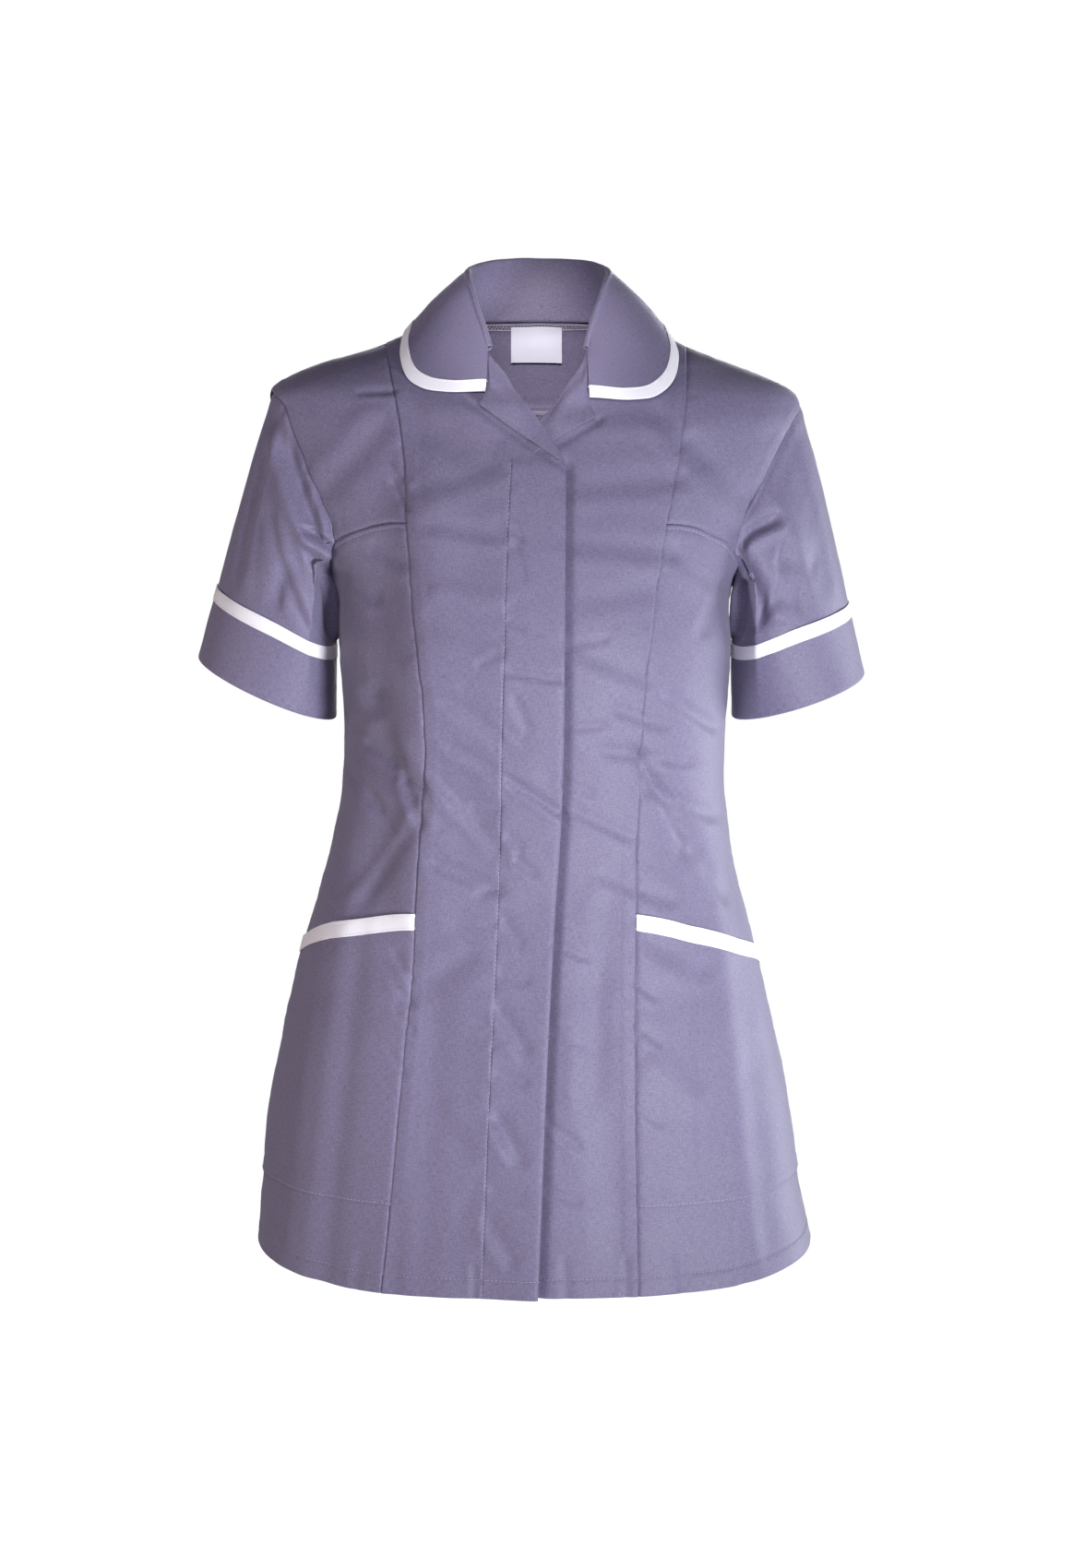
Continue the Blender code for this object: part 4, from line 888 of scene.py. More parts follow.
def oversew(name, edge, inner, pitch, thickness, thread):
    """Oversewing over a raw edge: a thread to and fro between two lines, and one along each."""
    places = np.linspace(0, 1, 2 * int(travelled(edge)[-1] / pitch) + 1)
    lines = []
    for line in (edge, inner):
        share = travelled(line) / travelled(line)[-1]
        lines.append(np.stack([np.interp(places, share, line[:, k]) for k in range(3)], 1))
    to_and_fro = np.where((np.arange(len(places)) % 2)[:, None], *lines)
    threads(name, [to_and_fro, lines[0][::2], lines[1][::2]], thread_path, {"Thickness": thickness}, thread)


def weave_group():
    """Plain weave from a flat cut: thread height, and a shade with slubs along both threads."""
    tree = bpy.data.node_groups.new("plain weave", "ShaderNodeTree")
    for name, kind in (("Cut", "Vector"), ("Thread", "Float"), ("Slubs", "Float"), ("Mottle", "Float")):
        tree.interface.new_socket(name, in_out="INPUT", socket_type="NodeSocket" + kind)
    for name in ("Shade", "Height"):
        tree.interface.new_socket(name, in_out="OUTPUT", socket_type="NodeSocketFloat")
    given = tree.nodes.new("NodeGroupInput").outputs
    apart = node(tree, "ShaderNodeSeparateXYZ", {0: given["Cut"]}).outputs
    waves = []
    for axis in "XY":
        turns = reckoned(tree, "DIVIDE", apart[axis], given["Thread"])
        waves.append(reckoned(tree, "SINE", reckoned(tree, "MULTIPLY", turns, math.pi)))
    height = reckoned(tree, "MULTIPLY_ADD", reckoned(tree, "MULTIPLY", *waves), 0.5, 0.5)

    def noise(place, scale, detail):
        made = node(tree, "ShaderNodeTexNoise", {"Vector": place, "Scale": scale, "Detail": detail})
        return reckoned(tree, "SUBTRACT", made.outputs["Fac"], 0.5)

    slubs = []
    for stretch, scale in (((1, 0.14, 1), 1500), ((0.16, 1, 1), 1300)):
        drawn_out = node(tree, "ShaderNodeMapping", {"Vector": given["Cut"], "Scale": stretch}).outputs[0]
        slubs.append(noise(drawn_out, scale, 2))
    uneven = reckoned(tree, "MULTIPLY", noise(given["Cut"], 700, 3), given["Mottle"])
    drawn = reckoned(tree, "MULTIPLY", reckoned(tree, "ADD", *slubs), given["Slubs"])
    woven_shade = reckoned(tree, "MULTIPLY_ADD", height, 0.12, 0.44)
    shade = reckoned(tree, "ADD", reckoned(tree, "ADD", drawn, uneven), woven_shade)
    node(tree, "NodeGroupOutput", {"Shade": shade, "Height": height})
    return tree


plain_weave = weave_group()


def woven(name, dark, light, thread, slubs, mottle, roughness, sheen, bump):
    """A woven cloth's material: two close colours in the threads, soft sheen, and their relief."""
    material, tree, shader = surface(name)
    cut = node(tree, "ShaderNodeUVMap", uv_map="cut").outputs[0]
    weave = node(tree, "ShaderNodeGroup", {"Cut": cut, "Thread": thread, "Slubs": slubs, "Mottle": mottle},
                 node_tree=plain_weave).outputs
    tint = node(tree, "ShaderNodeMix", {"Factor": weave["Shade"], "A": (*dark, 1), "B": (*light, 1)},
                data_type="RGBA")
    relief = node(tree, "ShaderNodeBump", {"Strength": bump, "Distance": 0.0002, "Height": weave["Height"]})
    feed(shader, {
        "Base Color": tint.outputs["Result"], "Normal": relief.outputs[0], "Roughness": roughness,
        "Specular IOR Level": 0.5, "Sheen Weight": sheen, "Sheen Roughness": 0.45})
    return material


def spun(name, colour):
    """Matt sewing thread."""
    material, _, shader = surface(name)
    feed(shader, {"Base Color": (*colour, 1), "Roughness": 0.6})
    return material


grey_thread = spun("grey oversewing thread", (0.52, 0.47, 0.57))
lilac_thread = spun("lilac sewing thread", (0.40, 0.37, 0.5))
cloth = woven("lilac-grey polycotton", (0.13, 0.115, 0.19), (0.202, 0.18, 0.276), 0.00045, 1.6, 1.5,
              0.6, 0.2, 0.25)

seam = {}
quarter, half_turn = math.pi / 2, math.pi
seam["princess right"] = level_rows(PRINCESS_RIGHT, ROW_LEVELS["princess"])
seam["princess left"] = level_rows(PRINCESS_LEFT, ROW_LEVELS["princess"])
under_fly = {"x": [x - UNDERLAP for x in FLY_EDGE["x"]], "z": FLY_EDGE["z"]}
under_fly["x"][-1] = ROLL_LEFT["x"][0]
for side, sign, princess, front, roll in (("right", -1, PRINCESS_RIGHT, FLY_EDGE, ROLL_RIGHT),
                                          ("left", 1, PRINCESS_LEFT, under_fly, ROLL_LEFT)):
    z = np.linspace(ROW_LEVELS["princess"][-1], princess["z"][-1], FINE * sum(UPPER_ROWS.values()) + 1)
    seam["upper princess " + side] = np.stack([angle_at(across_at(princess, z), z), z], 1)
    seam["upper princess " + side][-1, 0] = sign * quarter
    neck_side = (sign * quarter, NECK_SIDE_Z)
    roll_points = on_surface(roll)
    seam["front edge " + side] = level_rows(front, ROW_LEVELS["princess"])
    corner = seam["front edge " + side][-1]
    seam["above bust " + side] = sampled([corner, roll_points[0]], UPPER_ROWS["bust to break"])
    seam["roll " + side] = sampled(roll_points, UPPER_ROWS["roll line"])
    seam["front neck " + side] = sampled([roll_points[-1], neck_side], UPPER_ROWS["front neck"])
    shoulder_end = seam["upper princess " + side][-1]
    seam["inner shoulder " + side] = sampled([shoulder_end, neck_side], COLUMNS["front"])


def fly_lift(grid, far=None):
    """How far the right front stands off over its placket, above the left front."""
    x, z = in_place(grid)[..., 0], grid[..., 1]
    fly_x = upright(FLY_EDGE, z)
    roll_x = across_at(ROLL_RIGHT, np.clip(z, ROLL_RIGHT["z"][0], ROLL_RIGHT["z"][-1]))
    edge_x = np.where(z > FLY_EDGE["z"][-1], roll_x, fly_x)
    over_placket = smoothstep((x - edge_x + FLY_WIDTH + FLY_RISES_OVER) / FLY_RISES_OVER)
    plain_above, full_below = COLLAR_FADE_Z
    return FLY_LIFT * over_placket * smoothstep((plain_above - z) / (plain_above - full_below))


def placket_thickness(grid, far):
    """The right front is three cloths thick from its folded edge to the stitches."""
    return CLOTH + (PLACKET - CLOTH) * smoothstep((FLY_WIDTH + 2 - far["right"]) / 4) \
        * smoothstep((-40 - grid[..., 1]) / 25)


def placket_stitch_relief(points, far):
    """The stitches draw the placket down in a groove, with short puckers beside it."""
    x, z = points[..., 0], points[..., 2]
    beside = x - upright(FLY_STITCHES, z)
    below_break = smoothstep((-92 - z) / 6)
    groove = -0.55 * hump(beside, 0.8)
    on_placket = 1.3 * puckers(np.abs(beside), z, 11, 71, 18) * smoothstep(beside / 1.5)
    before_it = 0.8 * puckers(np.abs(beside), z, 7, 72, 15) * smoothstep(-beside / 1.5)
    step = 0.5 * smoothstep(beside / 1.2)
    flare = PLACKET_FLARE * smoothstep((-380 - z) / 120) * smoothstep(beside / 60)
    drawn_down = groove + on_placket + before_it + step + flare
    return drawn_down * below_break + body_troughs(REVER_HOLLOWS, points, 0)


def under_fly_relief(points, far):
    """The left front dips a little where it goes in under the placket."""
    x, z = points[..., 0], points[..., 2]
    past_fly = x - upright(FLY_EDGE, z)
    dip = -UNDER_FLY_DIP * smoothstep((8 - past_fly) / 9) * smoothstep((-88 - z) / 12)
    return dip + body_troughs(REVER_HOLLOWS, points, 0)


def along_stitches(grid, column):
    """The right front's grid with one column drawn on to the placket's line of stitches."""
    x = in_place(grid)[..., 0]
    columns = np.arange(grid.shape[1])
    stitches_x = upright(FLY_STITCHES, grid[:, column, 1])
    wanted = np.array([np.interp(stitch_x, row, columns) for stitch_x, row in zip(stitches_x, x)])
    stitched = grid[:, -1, 1] < FLY_STITCHES["z"][-1]
    wanted[~stitched] = wanted[stitched][-1]
    result = grid.copy()
    for row, place in enumerate(wanted):
        at = np.interp(columns, [0, column, columns[-1]], [0, place, columns[-1]])
        result[row] = np.stack([np.interp(at, columns, grid[row, :, k]) for k in (0, 1)], 1)
    return result


for side, seed in (("right", 1), ("left", 2)):
    up = joined(seam["princess " + side], seam["upper princess " + side])
    edge = joined(*(seam[name + side] for name in ("front edge ", "above bust ", "roll ", "front neck ")))
    first, last = in_order(side, up, edge)
    grid = patch(hem_between(first[0, 0], last[0, 0], COLUMNS["front"]),
                 turned_for(side, seam["inner shoulder " + side]), first, last)
    edges = (*in_order(side, "over", "lip"), "hem", "sewn")
    if side == "right":
        stitched = int(STITCHED_COLUMN * FINE)
        made = body_piece("front_right_cloth", "front_right", along_stitches(grid, stitched), edges, seed,
                          lift=fly_lift, thickness=placket_thickness, relief=placket_stitch_relief,
                          inside=[stitched])
        x, z = made["points"][..., 0], made["points"][..., 2]
        beside = x - upright(FLY_STITCHES, z)
        line = line_where((made["outer"] + made["normals"] * STITCH_RISE).transpose(1, 0, 2), beside.T, 0.0)
        lines = [line[line[:, 2] < FLY_STITCHES_END_Z]]
    else:
        made = body_piece("front_left_cloth", "front_left", grid, edges, seed, relief=under_fly_relief)
        lines = []
    sew("front_stitches_" + side, [*lines, stitch_line(made, "bottom", kind="hem")], lilac_thread)


# The side fronts, from the princess seam to the side seam, and the upper side fronts over them. Both
# are the same polycotton. The lower one laps over the bust seam, with a row of stitches along it.
BUST_SEAM = {
    "right": {"x": (-147, -142, -130, -114, -102, -91.5), "z": (-153, -150, -144, -139, -137.5, -138)},
    "left": {"x": (93.5, 106, 118, 127, 137, 144), "z": (-138, -139, -142, -147, -152, -161)},
}
ARMHOLE = {
    "right": {"x": (-147, -150, -157, -167, -178, -185.5), "z": (-153, -139, -122, -98, -72, -52)},
    "left": {"x": (144, 149, 159, 170, 179, 188), "z": (-161, -139, -122, -98, -81, -66)},
}
SHOULDER_TIP_Z = {"right": -41, "left": -53}
ARMPIT_Z = {"right": -185, "left": -187}
EVENING_STEPS = 30


def side_rows(angle, side):
    z = between_levels([HEM_SIDE_Z, *ROW_LEVELS[side + " side"][1:-1], ARMPIT_Z[side]])
    return np.stack([np.full_like(z, angle), z], 1)


def evened(grid):
    """The same patch with its inner points spread evenly in space, for pieces round a shoulder."""
    edges = in_place(grid)
    wanted = patch(edges[0], edges[-1], edges[:, 0], edges[:, -1])[1:-1, 1:-1]
    angle, z = grid[1:-1, 1:-1, 0].copy(), grid[1:-1, 1:-1, 1].copy()
    for _ in range(EVENING_STEPS):
        miss = wanted - plain_body(angle, z)
        around, upward = body_slopes(angle, z)
        aa, uu, au = (np.sum(p * q, -1) for p, q in ((around, around), (upward, upward), (around, upward)))
        am, um = np.sum(around * miss, -1), np.sum(upward * miss, -1)
        spread = np.maximum(aa * uu - au * au, 1e-6)
        angle = angle + np.clip((uu * am - au * um) / spread, -0.05, 0.05)
        z = z + np.clip((aa * um - au * am) / spread, -3, 3)
    result = grid.copy()
    result[1:-1, 1:-1] = np.stack([angle, z], -1)
    return result


side_grid = {}
for side, sign, seed in (("right", -1, 3), ("left", 1, 5)):
    angle = sign * quarter
    front_hole = on_surface(ARMHOLE[side])
    tip = (angle, SHOULDER_TIP_Z[side])
    princess, upper = seam["princess " + side], seam["upper princess " + side]
    down = seam["side " + side] = side_rows(angle, side)
    shoulder = seam["outer shoulder " + side] = sampled([tip, upper[-1]], COLUMNS["bust seam"])
    hole = seam["front armhole " + side] = sampled([*front_hole, tip], sum(UPPER_ROWS.values()))
    under = seam["under armhole " + side] = sampled([(angle, ARMPIT_Z[side]), front_hole[0]],
                                                    COLUMNS["under armhole"])
    bust = sampled(on_surface(BUST_SEAM[side]), COLUMNS["bust seam"])
    first, last = in_order(side, down, princess)
    hem = hem_between(first[0, 0], last[0, 0], COLUMNS["under armhole"] + COLUMNS["bust seam"])
    top = joined(under, bust) if side == "right" else joined(bust, under[::-1])
    side_grid[side] = patch(hem, top, first, last)
    made = body_piece("side_front_%s_cloth" % side, "side_front_" + side, side_grid[side],
                      (*in_order(side, "sewn", "under"), "hem", "stitched"), seed)
    body_piece("upper_front_%s_cloth" % side, "upper_front_" + side,
               evened(patch(bust, turned_for(side, shoulder), *in_order(side, hole, upper))),
               (*in_order(side, "over", "under"), "under", "sewn"), seed + 1)
    bust_line = stitch_line(made, "top", kind="stitched", share=(0.49, 1) if side == "right" else (0, 0.51))
    sew("side_front_stitches_" + side, [bust_line, stitch_line(made, "bottom", kind="hem")], lilac_thread)


# The back hangs from the yoke, which goes over both shoulders. Two long waist darts are sewn into the
# back, and the yoke is stitched down over it. Inside, the yoke seam's raw edges are oversewn.
ARMHOLE_BACK = {
    "right": {"x": (-148, -150, -156, -165, -174), "z": (-174, -160, -142, -120, -98)},
    "left": {"x": (145.3, 148, 155, 166, 176), "z": (-175, -160, -142, -120, -98)},
}
ARMHOLE_BACK_ROWS = 5
YOKE_ROWS = 4
YOKE_CENTRE_Z = -60
YOKE_COLUMNS_FOLLOW_TOP = 0.5
BACK_NECK_Z = 7
BACK_NECK_SQUARENESS = 0.7
DART = {"across": 74, "top": -205, "bottom": -478, "middle": -335, "depth": 1.0, "width": 0.7, "beside": 3.0}


def same_turn(points):
    """The same points with their angles one turn further round, for the seams behind."""
    return points + np.array([2 * math.pi, 0])


for side, turn in (("right", half_turn + quarter), ("left", quarter)):
    hole = on_surface(ARMHOLE_BACK[side], True)
    seam["back armhole " + side] = sampled([(turn, ARMPIT_Z[side]), *hole], ARMHOLE_BACK_ROWS)
    seam["yoke armhole " + side] = sampled([hole[-1], (turn, SHOULDER_TIP_Z[side])], YOKE_ROWS)
turns = np.linspace(quarter, half_turn + quarter, 2 * COLUMNS["half back neck"] * FINE + 1)
neck_z = NECK_SIDE_Z + (BACK_NECK_Z - NECK_SIDE_Z) * np.sin(turns - quarter) ** BACK_NECK_SQUARENESS
seam["back neck"] = sampled(np.stack([turns, neck_z], 1)[::FINE], 2 * COLUMNS["half back neck"])
seam["yoke top"] = joined(
    seam["outer shoulder left"], seam["inner shoulder left"], seam["back neck"],
    same_turn(seam["inner shoulder right"])[::-1], same_turn(seam["outer shoulder right"])[::-1])
centre = np.array([half_turn, YOKE_CENTRE_Z])
ends = [seam["yoke armhole " + side][0] for side in ("left", "right")]
halfway = [(end + centre) / 2 + (centre - end) * (0, 0.25) for end in ends]
along_top = travelled(in_place(seam["yoke top"]))
even = np.linspace(0, 1, len(along_top))
places = even + YOKE_COLUMNS_FOLLOW_TOP * (along_top / along_top[-1] - even)
across_back = (len(even) - 1) // FINE
seam["yoke seam"] = sampled([ends[0], halfway[0], centre, halfway[1], ends[1]], across_back, places)
seam["back hem"] = hem_between(quarter, half_turn + quarter, across_back)

back_grid = patch(seam["back hem"], seam["yoke seam"], joined(seam["side left"], seam["back armhole left"]),
                  joined(same_turn(seam["side right"]), seam["back armhole right"]))
back_points = in_place(back_grid)
waist_row = np.argmin(np.abs(back_points[:, len(even) // 2, 2] - DART["middle"]))
darts = [int(np.argmin(np.abs(back_points[waist_row, :, 0] - sign * DART["across"]))) for sign in (1, -1)]


def dart_relief(points, far):
    """Each dart is a drawn-in seam line that dies away at both ends, with soft hollows beside it."""
    total = np.zeros_like(far["left"])
    row = np.argmin(np.abs(points[:, points.shape[1] // 2, 2] - DART["middle"]))
    z = points[..., 2]
    for x in (DART["across"], -DART["across"]):
        column = np.argmin(np.abs(points[row, :, 0] - x))
        beside = far["left"] - far["left"][:, column, None]
        half = (DART["top"] - DART["bottom"]) / 2
        ends = smoothstep(2.2 * (1 - np.abs(z - DART["bottom"] - half) / half))
        line = DART["depth"] * hump(beside, DART["width"])
        hollow = 0.5 * DART["depth"] * hump(beside, DART["beside"])
        total = total - (line + hollow) * ends
        total = total + 0.6 * puckers(np.abs(beside), z, 8, 81 if x > 0 else 82) * ends
    return total


body_back = body_piece("back_cloth", "back", back_grid[:, ::2], ("sewn", "sewn", "hem", "under"), 7,
                       relief=dart_relief, inside=[k / 2 for k in darts])
yoke_edges = [seam["yoke " + name] for name in ("seam", "top", "armhole left", "armhole right")]
yoke_grid = evened(patch(*yoke_edges))
yoke = body_piece("back_yoke_cloth", "back_yoke", yoke_grid[:, ::2], ("over", "over", "stitched", "sewn"), 8)
hem_stitches = stitch_line(body_back, "bottom", kind="hem")
yoke_stitches = stitch_line(yoke, "bottom", kind="stitched")
sew("back_stitches", [hem_stitches, yoke_stitches], lilac_thread)
neck_lines = [line_at(yoke, "top", distance, -1.3) for distance in (0.9, 6.4)]
neck_lines = [line[(np.abs(line[:, 0]) < 48) & (line[:, 1] > 20)] for line in neck_lines]
oversew("back_neck_oversewing", *neck_lines, 2.6, 0.55, grey_thread)
yoke_lines = [line_at(body_back, "top", distance, -1.9) for distance in (0.8, 7)]
oversew("yoke_oversewing", *[line[8:-8] for line in yoke_lines], 2.8, 0.5, grey_thread)


# The two pockets are caught in the princess and side seams. Each has its foot turned in and stitched
# down, and a white woven tape stitched along its mouth.
POCKET_ROWS = {"turned below": 4, "foot": 3, "tape": 11, "mouth": 12}
TURNED_FOOT = 11
POCKET_STITCH = 1.8
POCKET_LIFT = 1.0
TAPE_LIFT = 0.75
TAPE = 0.4

white_thread = spun("white sewing thread", (0.86, 0.86, 0.88))
tape = woven("white woven tape", (0.86, 0.86, 0.88), (0.95, 0.95, 0.96), 0.0006, 0.25, 0.1, 0.7, 0.2, 0.3)


def pocket_relief(points, far):
    """The foot's turned-in edge shows as a low step, with stitches beside it."""
    step = 0.3 * smoothstep((TURNED_FOOT - far["bottom"]) / 1.5 + 0.5)
    groove = -0.3 * hump(far["bottom"] - TURNED_FOOT, 1.2)
    return step + groove


def sew_tape(name, made):
    """A row of white stitches along each edge of a tape."""
    lines = [stitch_line(made, side, kind="tape") for side in ("bottom", "top")]
    sew(name, lines, white_thread)


pocket_rows = {key: FINE * count for key, count in POCKET_ROWS.items()}
pocket_foot = pocket_rows["foot"] - POCKET_ROWS["turned below"]
for side, seed in (("right", 9), ("left", 10)):
    sides = in_order(side, "sewn", "under")
    to_mouth = side_grid[side][:pocket_rows["mouth"] + 1]
    made = body_piece("pocket_cloth_" + side, "pocket_" + side, to_mouth[pocket_foot:],
                      (*sides, "free", "free"), seed, lift=POCKET_LIFT, relief=pocket_relief)
    sew("pocket_stitches_" + side, [stitch_line(made, "bottom", POCKET_STITCH)], lilac_thread)
    made = body_piece("pocket_tape_cloth_" + side, "pocket_tape_" + side, to_mouth[pocket_rows["tape"]:],
                      (*sides, "tape", "tape"), seed + 2, lift=POCKET_LIFT + TAPE_LIFT, thickness=TAPE,
                      material=tape)
    sew_tape("pocket_tape_stitches_" + side, made)


# The revers are the turned-back tops of the two fronts. Each rolls over at the front's edge and lies
# flat on it, and the right one lies over the left at the break.
REVER_EDGE = {
    "right": {"x": (18.5, 9, -14, -42), "z": (-95, -89, -74, -55)},
    "left": {"x": (-12, 12, 25, 42), "z": (-94.5, -80, -72, -63)},
}
REVER_GORGE = {
    "right": {"x": (-41.5, -34.8, -33), "z": (-55, -44, -17)},
    "left": {"x": (41.5, 36, 34.5), "z": (-63, -46.5, -17)},
}
REVER_ROWS = 10
REVER_COLUMNS = 4
REVER_FOLD_LIFT = 0.1
REVER_LIFT = {"right": 2.2, "left": 1.45}
REVER_SHORT = 0.1
REVER_ROLL = 3.5
REVER_STANDS_OFF = 2.9
REVER_RISES_OVER = 26
REVER = 1.3


def rever_lift(grid, far):
    """Rises in a round roll from the fold, and over the placket on the right."""
    away = far[side]
    rolled = np.sqrt(1 - (1 - np.clip(away / REVER_ROLL, 0, 1)) ** 2)
    height = REVER_FOLD_LIFT + (REVER_LIFT[side] - REVER_FOLD_LIFT) * rolled
    height = height + REVER_STANDS_OFF * smoothstep(away / REVER_RISES_OVER)
    return height + (fly_lift(grid) if side == "right" else 0.0)


for side, roll_table, seed in (("right", ROLL_RIGHT, 13), ("left", ROLL_LEFT, 14)):
    roll_points = on_surface(roll_table)
    roll_points[-1] += (roll_points[-2] - roll_points[-1]) * REVER_SHORT
    roll = sampled(roll_points, REVER_ROWS)
    free = sampled(on_surface(REVER_EDGE[side]), REVER_ROWS)
    gorge = sampled(on_surface(REVER_GORGE[side]), REVER_COLUMNS)
    gorge[-1] = roll[-1]
    first, last = in_order(side, free, roll)
    grid = patch(sampled([first[0], last[0]], REVER_COLUMNS), turned_for(side, gorge), first, last)
    body_piece("rever_%s_cloth" % side, "rever_" + side, grid, ("free", "free", "free", "sewn"), seed,
               lift=rever_lift, thickness=REVER)


# The sleeves are set in, cut in one and closed under the arm. Each ends in a turned-back cuff with
# white tape round its top. They hang a little forward, with soft creases from the armhole.
CUFF_RINGS = {
    "right": {"middle": (-203, 30, -265.5), "outward": (-51.2, 0, 22.8), "forward": (0, -54, -5)},
    "left": {"middle": (197, 30, -271.5), "outward": (49.4, 0, 16), "forward": (0, -54, -5)},
}
CUFF_DEPTH = 60.5
CUFF_TAPE = 10.5
CUFF_LIFT = 0.75
CUFF = 0.9
CUFF_TAPE_LIFT = 0.5
CUFF_TAPE_WALL = 0.6
UNDERARM_GAP = 0.9
SET_IN = 1.1
SLEEVE_LEAVES = {"outer": (0.32, 0.12, -0.94), "front": (0.72, -0.12, -0.68),
                 "under": (0.0, 0.2, -0.98), "back": (0.72, 0.3, -0.62)}
SLEEVE_EASE = {"at armhole": 0.34, "at cuff": 0.3}
SLEEVE_LENGTH = 210
SLEEVE_FOLD_FADE = 0.12
SLEEVE_ALLOWANCE = 6
SLEEVE_ROWS = {"cuff": 16, "tape": 4, "above": 54}

# Folds and creases of each sleeve, in the same columns as the body's. Here x is in degrees round the
# sleeve, from outside over the front, and z is a share of the way from the armhole down to the cuff.
SLEEVE_FOLDS = {
    "right": (
        (150, 0.1, 105, 0.3, 10, 3.5),
        (118, 0.25, 75, 0.7, 14, 1.5),
    ),
    "left": (
        (142, 0.14, 128, 0.42, 10, 4.5),
        (95, 0.12, 80, 0.5, 13, 2),
    ),
}
SLEEVE_CREASES = {
    "right": (
        (20, 0.2, 30, 0.7, 10, -1.8),
        (95, 0.4, 80, 0.7, 7, 1.6),
        (250, 0.1, 230, 0.5, 10, 2.1),
        (310, 0.2, 320, 0.65, 12, -1.8),
        (172, 0.12, 178, 0.6, 22, -3.0),
        (33, 0.14, 100, 0.18, 9, -3.4),
        (56, 0.05, 108, 0.09, 7, 3.8),
        (104, 0.13, 131, 0.005, 2.4, 4.6),
        (114, 0.2, 150, 0.04, 6, 6.0),
        (150, 0.12, 166, 0.6, 9, 6.0),
        (70, 0.3, 118, 0.5, 9, 1.9),
        (20, 0.1, 44, 0.5, 9, 1.8),
        (62, 0.015, 124, 0.012, 1.6, 1.2),
        (40, 0.4, 60, 0.7, 10, -1.6),
        (172, 0.12, 178, 0.5, 18, -2.2),
        (90, 0.45, 96, 0.72, 6, 1.2),
    ),
    "left": (
        (110, 0.36, 70, 0.66, 8, 1.8),
        (165, 0.45, 130, 0.68, 6, 1.6),
        (240, 0.1, 225, 0.5, 11, 1.8),
        (300, 0.2, 310, 0.6, 12, -1.6),
        (90, 0.3, 60, 0.46, 9, 1.6),
        (112, 0.04, 84, 0.14, 5, 3.2),
        (84, 0.2, 112, 0.1, 6, -2.8),
        (130, 0.08, 118, 0.42, 8, 6.4),
        (117, 0.44, 100, 0.54, 7, -2.2),
        (60, 0.1, 52, 0.5, 12, 1.4),
        (25, 0.2, 34, 0.7, 11, -1.0),
        (62, 0.015, 120, 0.012, 1.6, 1.2),
        (150, 0.12, 166, 0.6, 9, 6.0),
        (88, 0.28, 104, 0.44, 7, 1.5),
        (172, 0.12, 178, 0.5, 18, -2.2),
        (78, 0.5, 84, 0.72, 6, 1.2),
    ),
}


def armhole_loop(side):
    """The armhole from the shoulder tip down the front, under the arm and up behind."""
    front, under = seam["front armhole " + side][::-1], seam["under armhole " + side][::-1]
    loop = joined(front, under, seam["back armhole " + side], seam["yoke armhole " + side])[:-1]
    return loop, len(front) + len(under) - 2


def sleeve_troughs(rows, around, down, ridge_share):
    """How far folds move a sleeve outwards at places in degrees round it and shares down it."""
    in_millimetres = [(turn, share * SLEEVE_LENGTH, to_turn, to_share * SLEEVE_LENGTH, *size)
                      for turn, share, to_turn, to_share, *size in rows]
    return troughs(in_millimetres, around, down * SLEEVE_LENGTH, ridge_share, 0)


def grid_normals(grid, row, closed=False):
    """Normals of rows of points, outwards at one row. The rows may close round."""
    around = np.roll(grid, -1, 1) - np.roll(grid, 1, 1) if closed else np.gradient(grid, axis=1)
    normals = unit(np.cross(around, np.gradient(grid, axis=0)))
    outwards = np.sum(normals[row] * (grid[row] - grid[row].mean(0))) > 0
    return normals if outwards else -normals


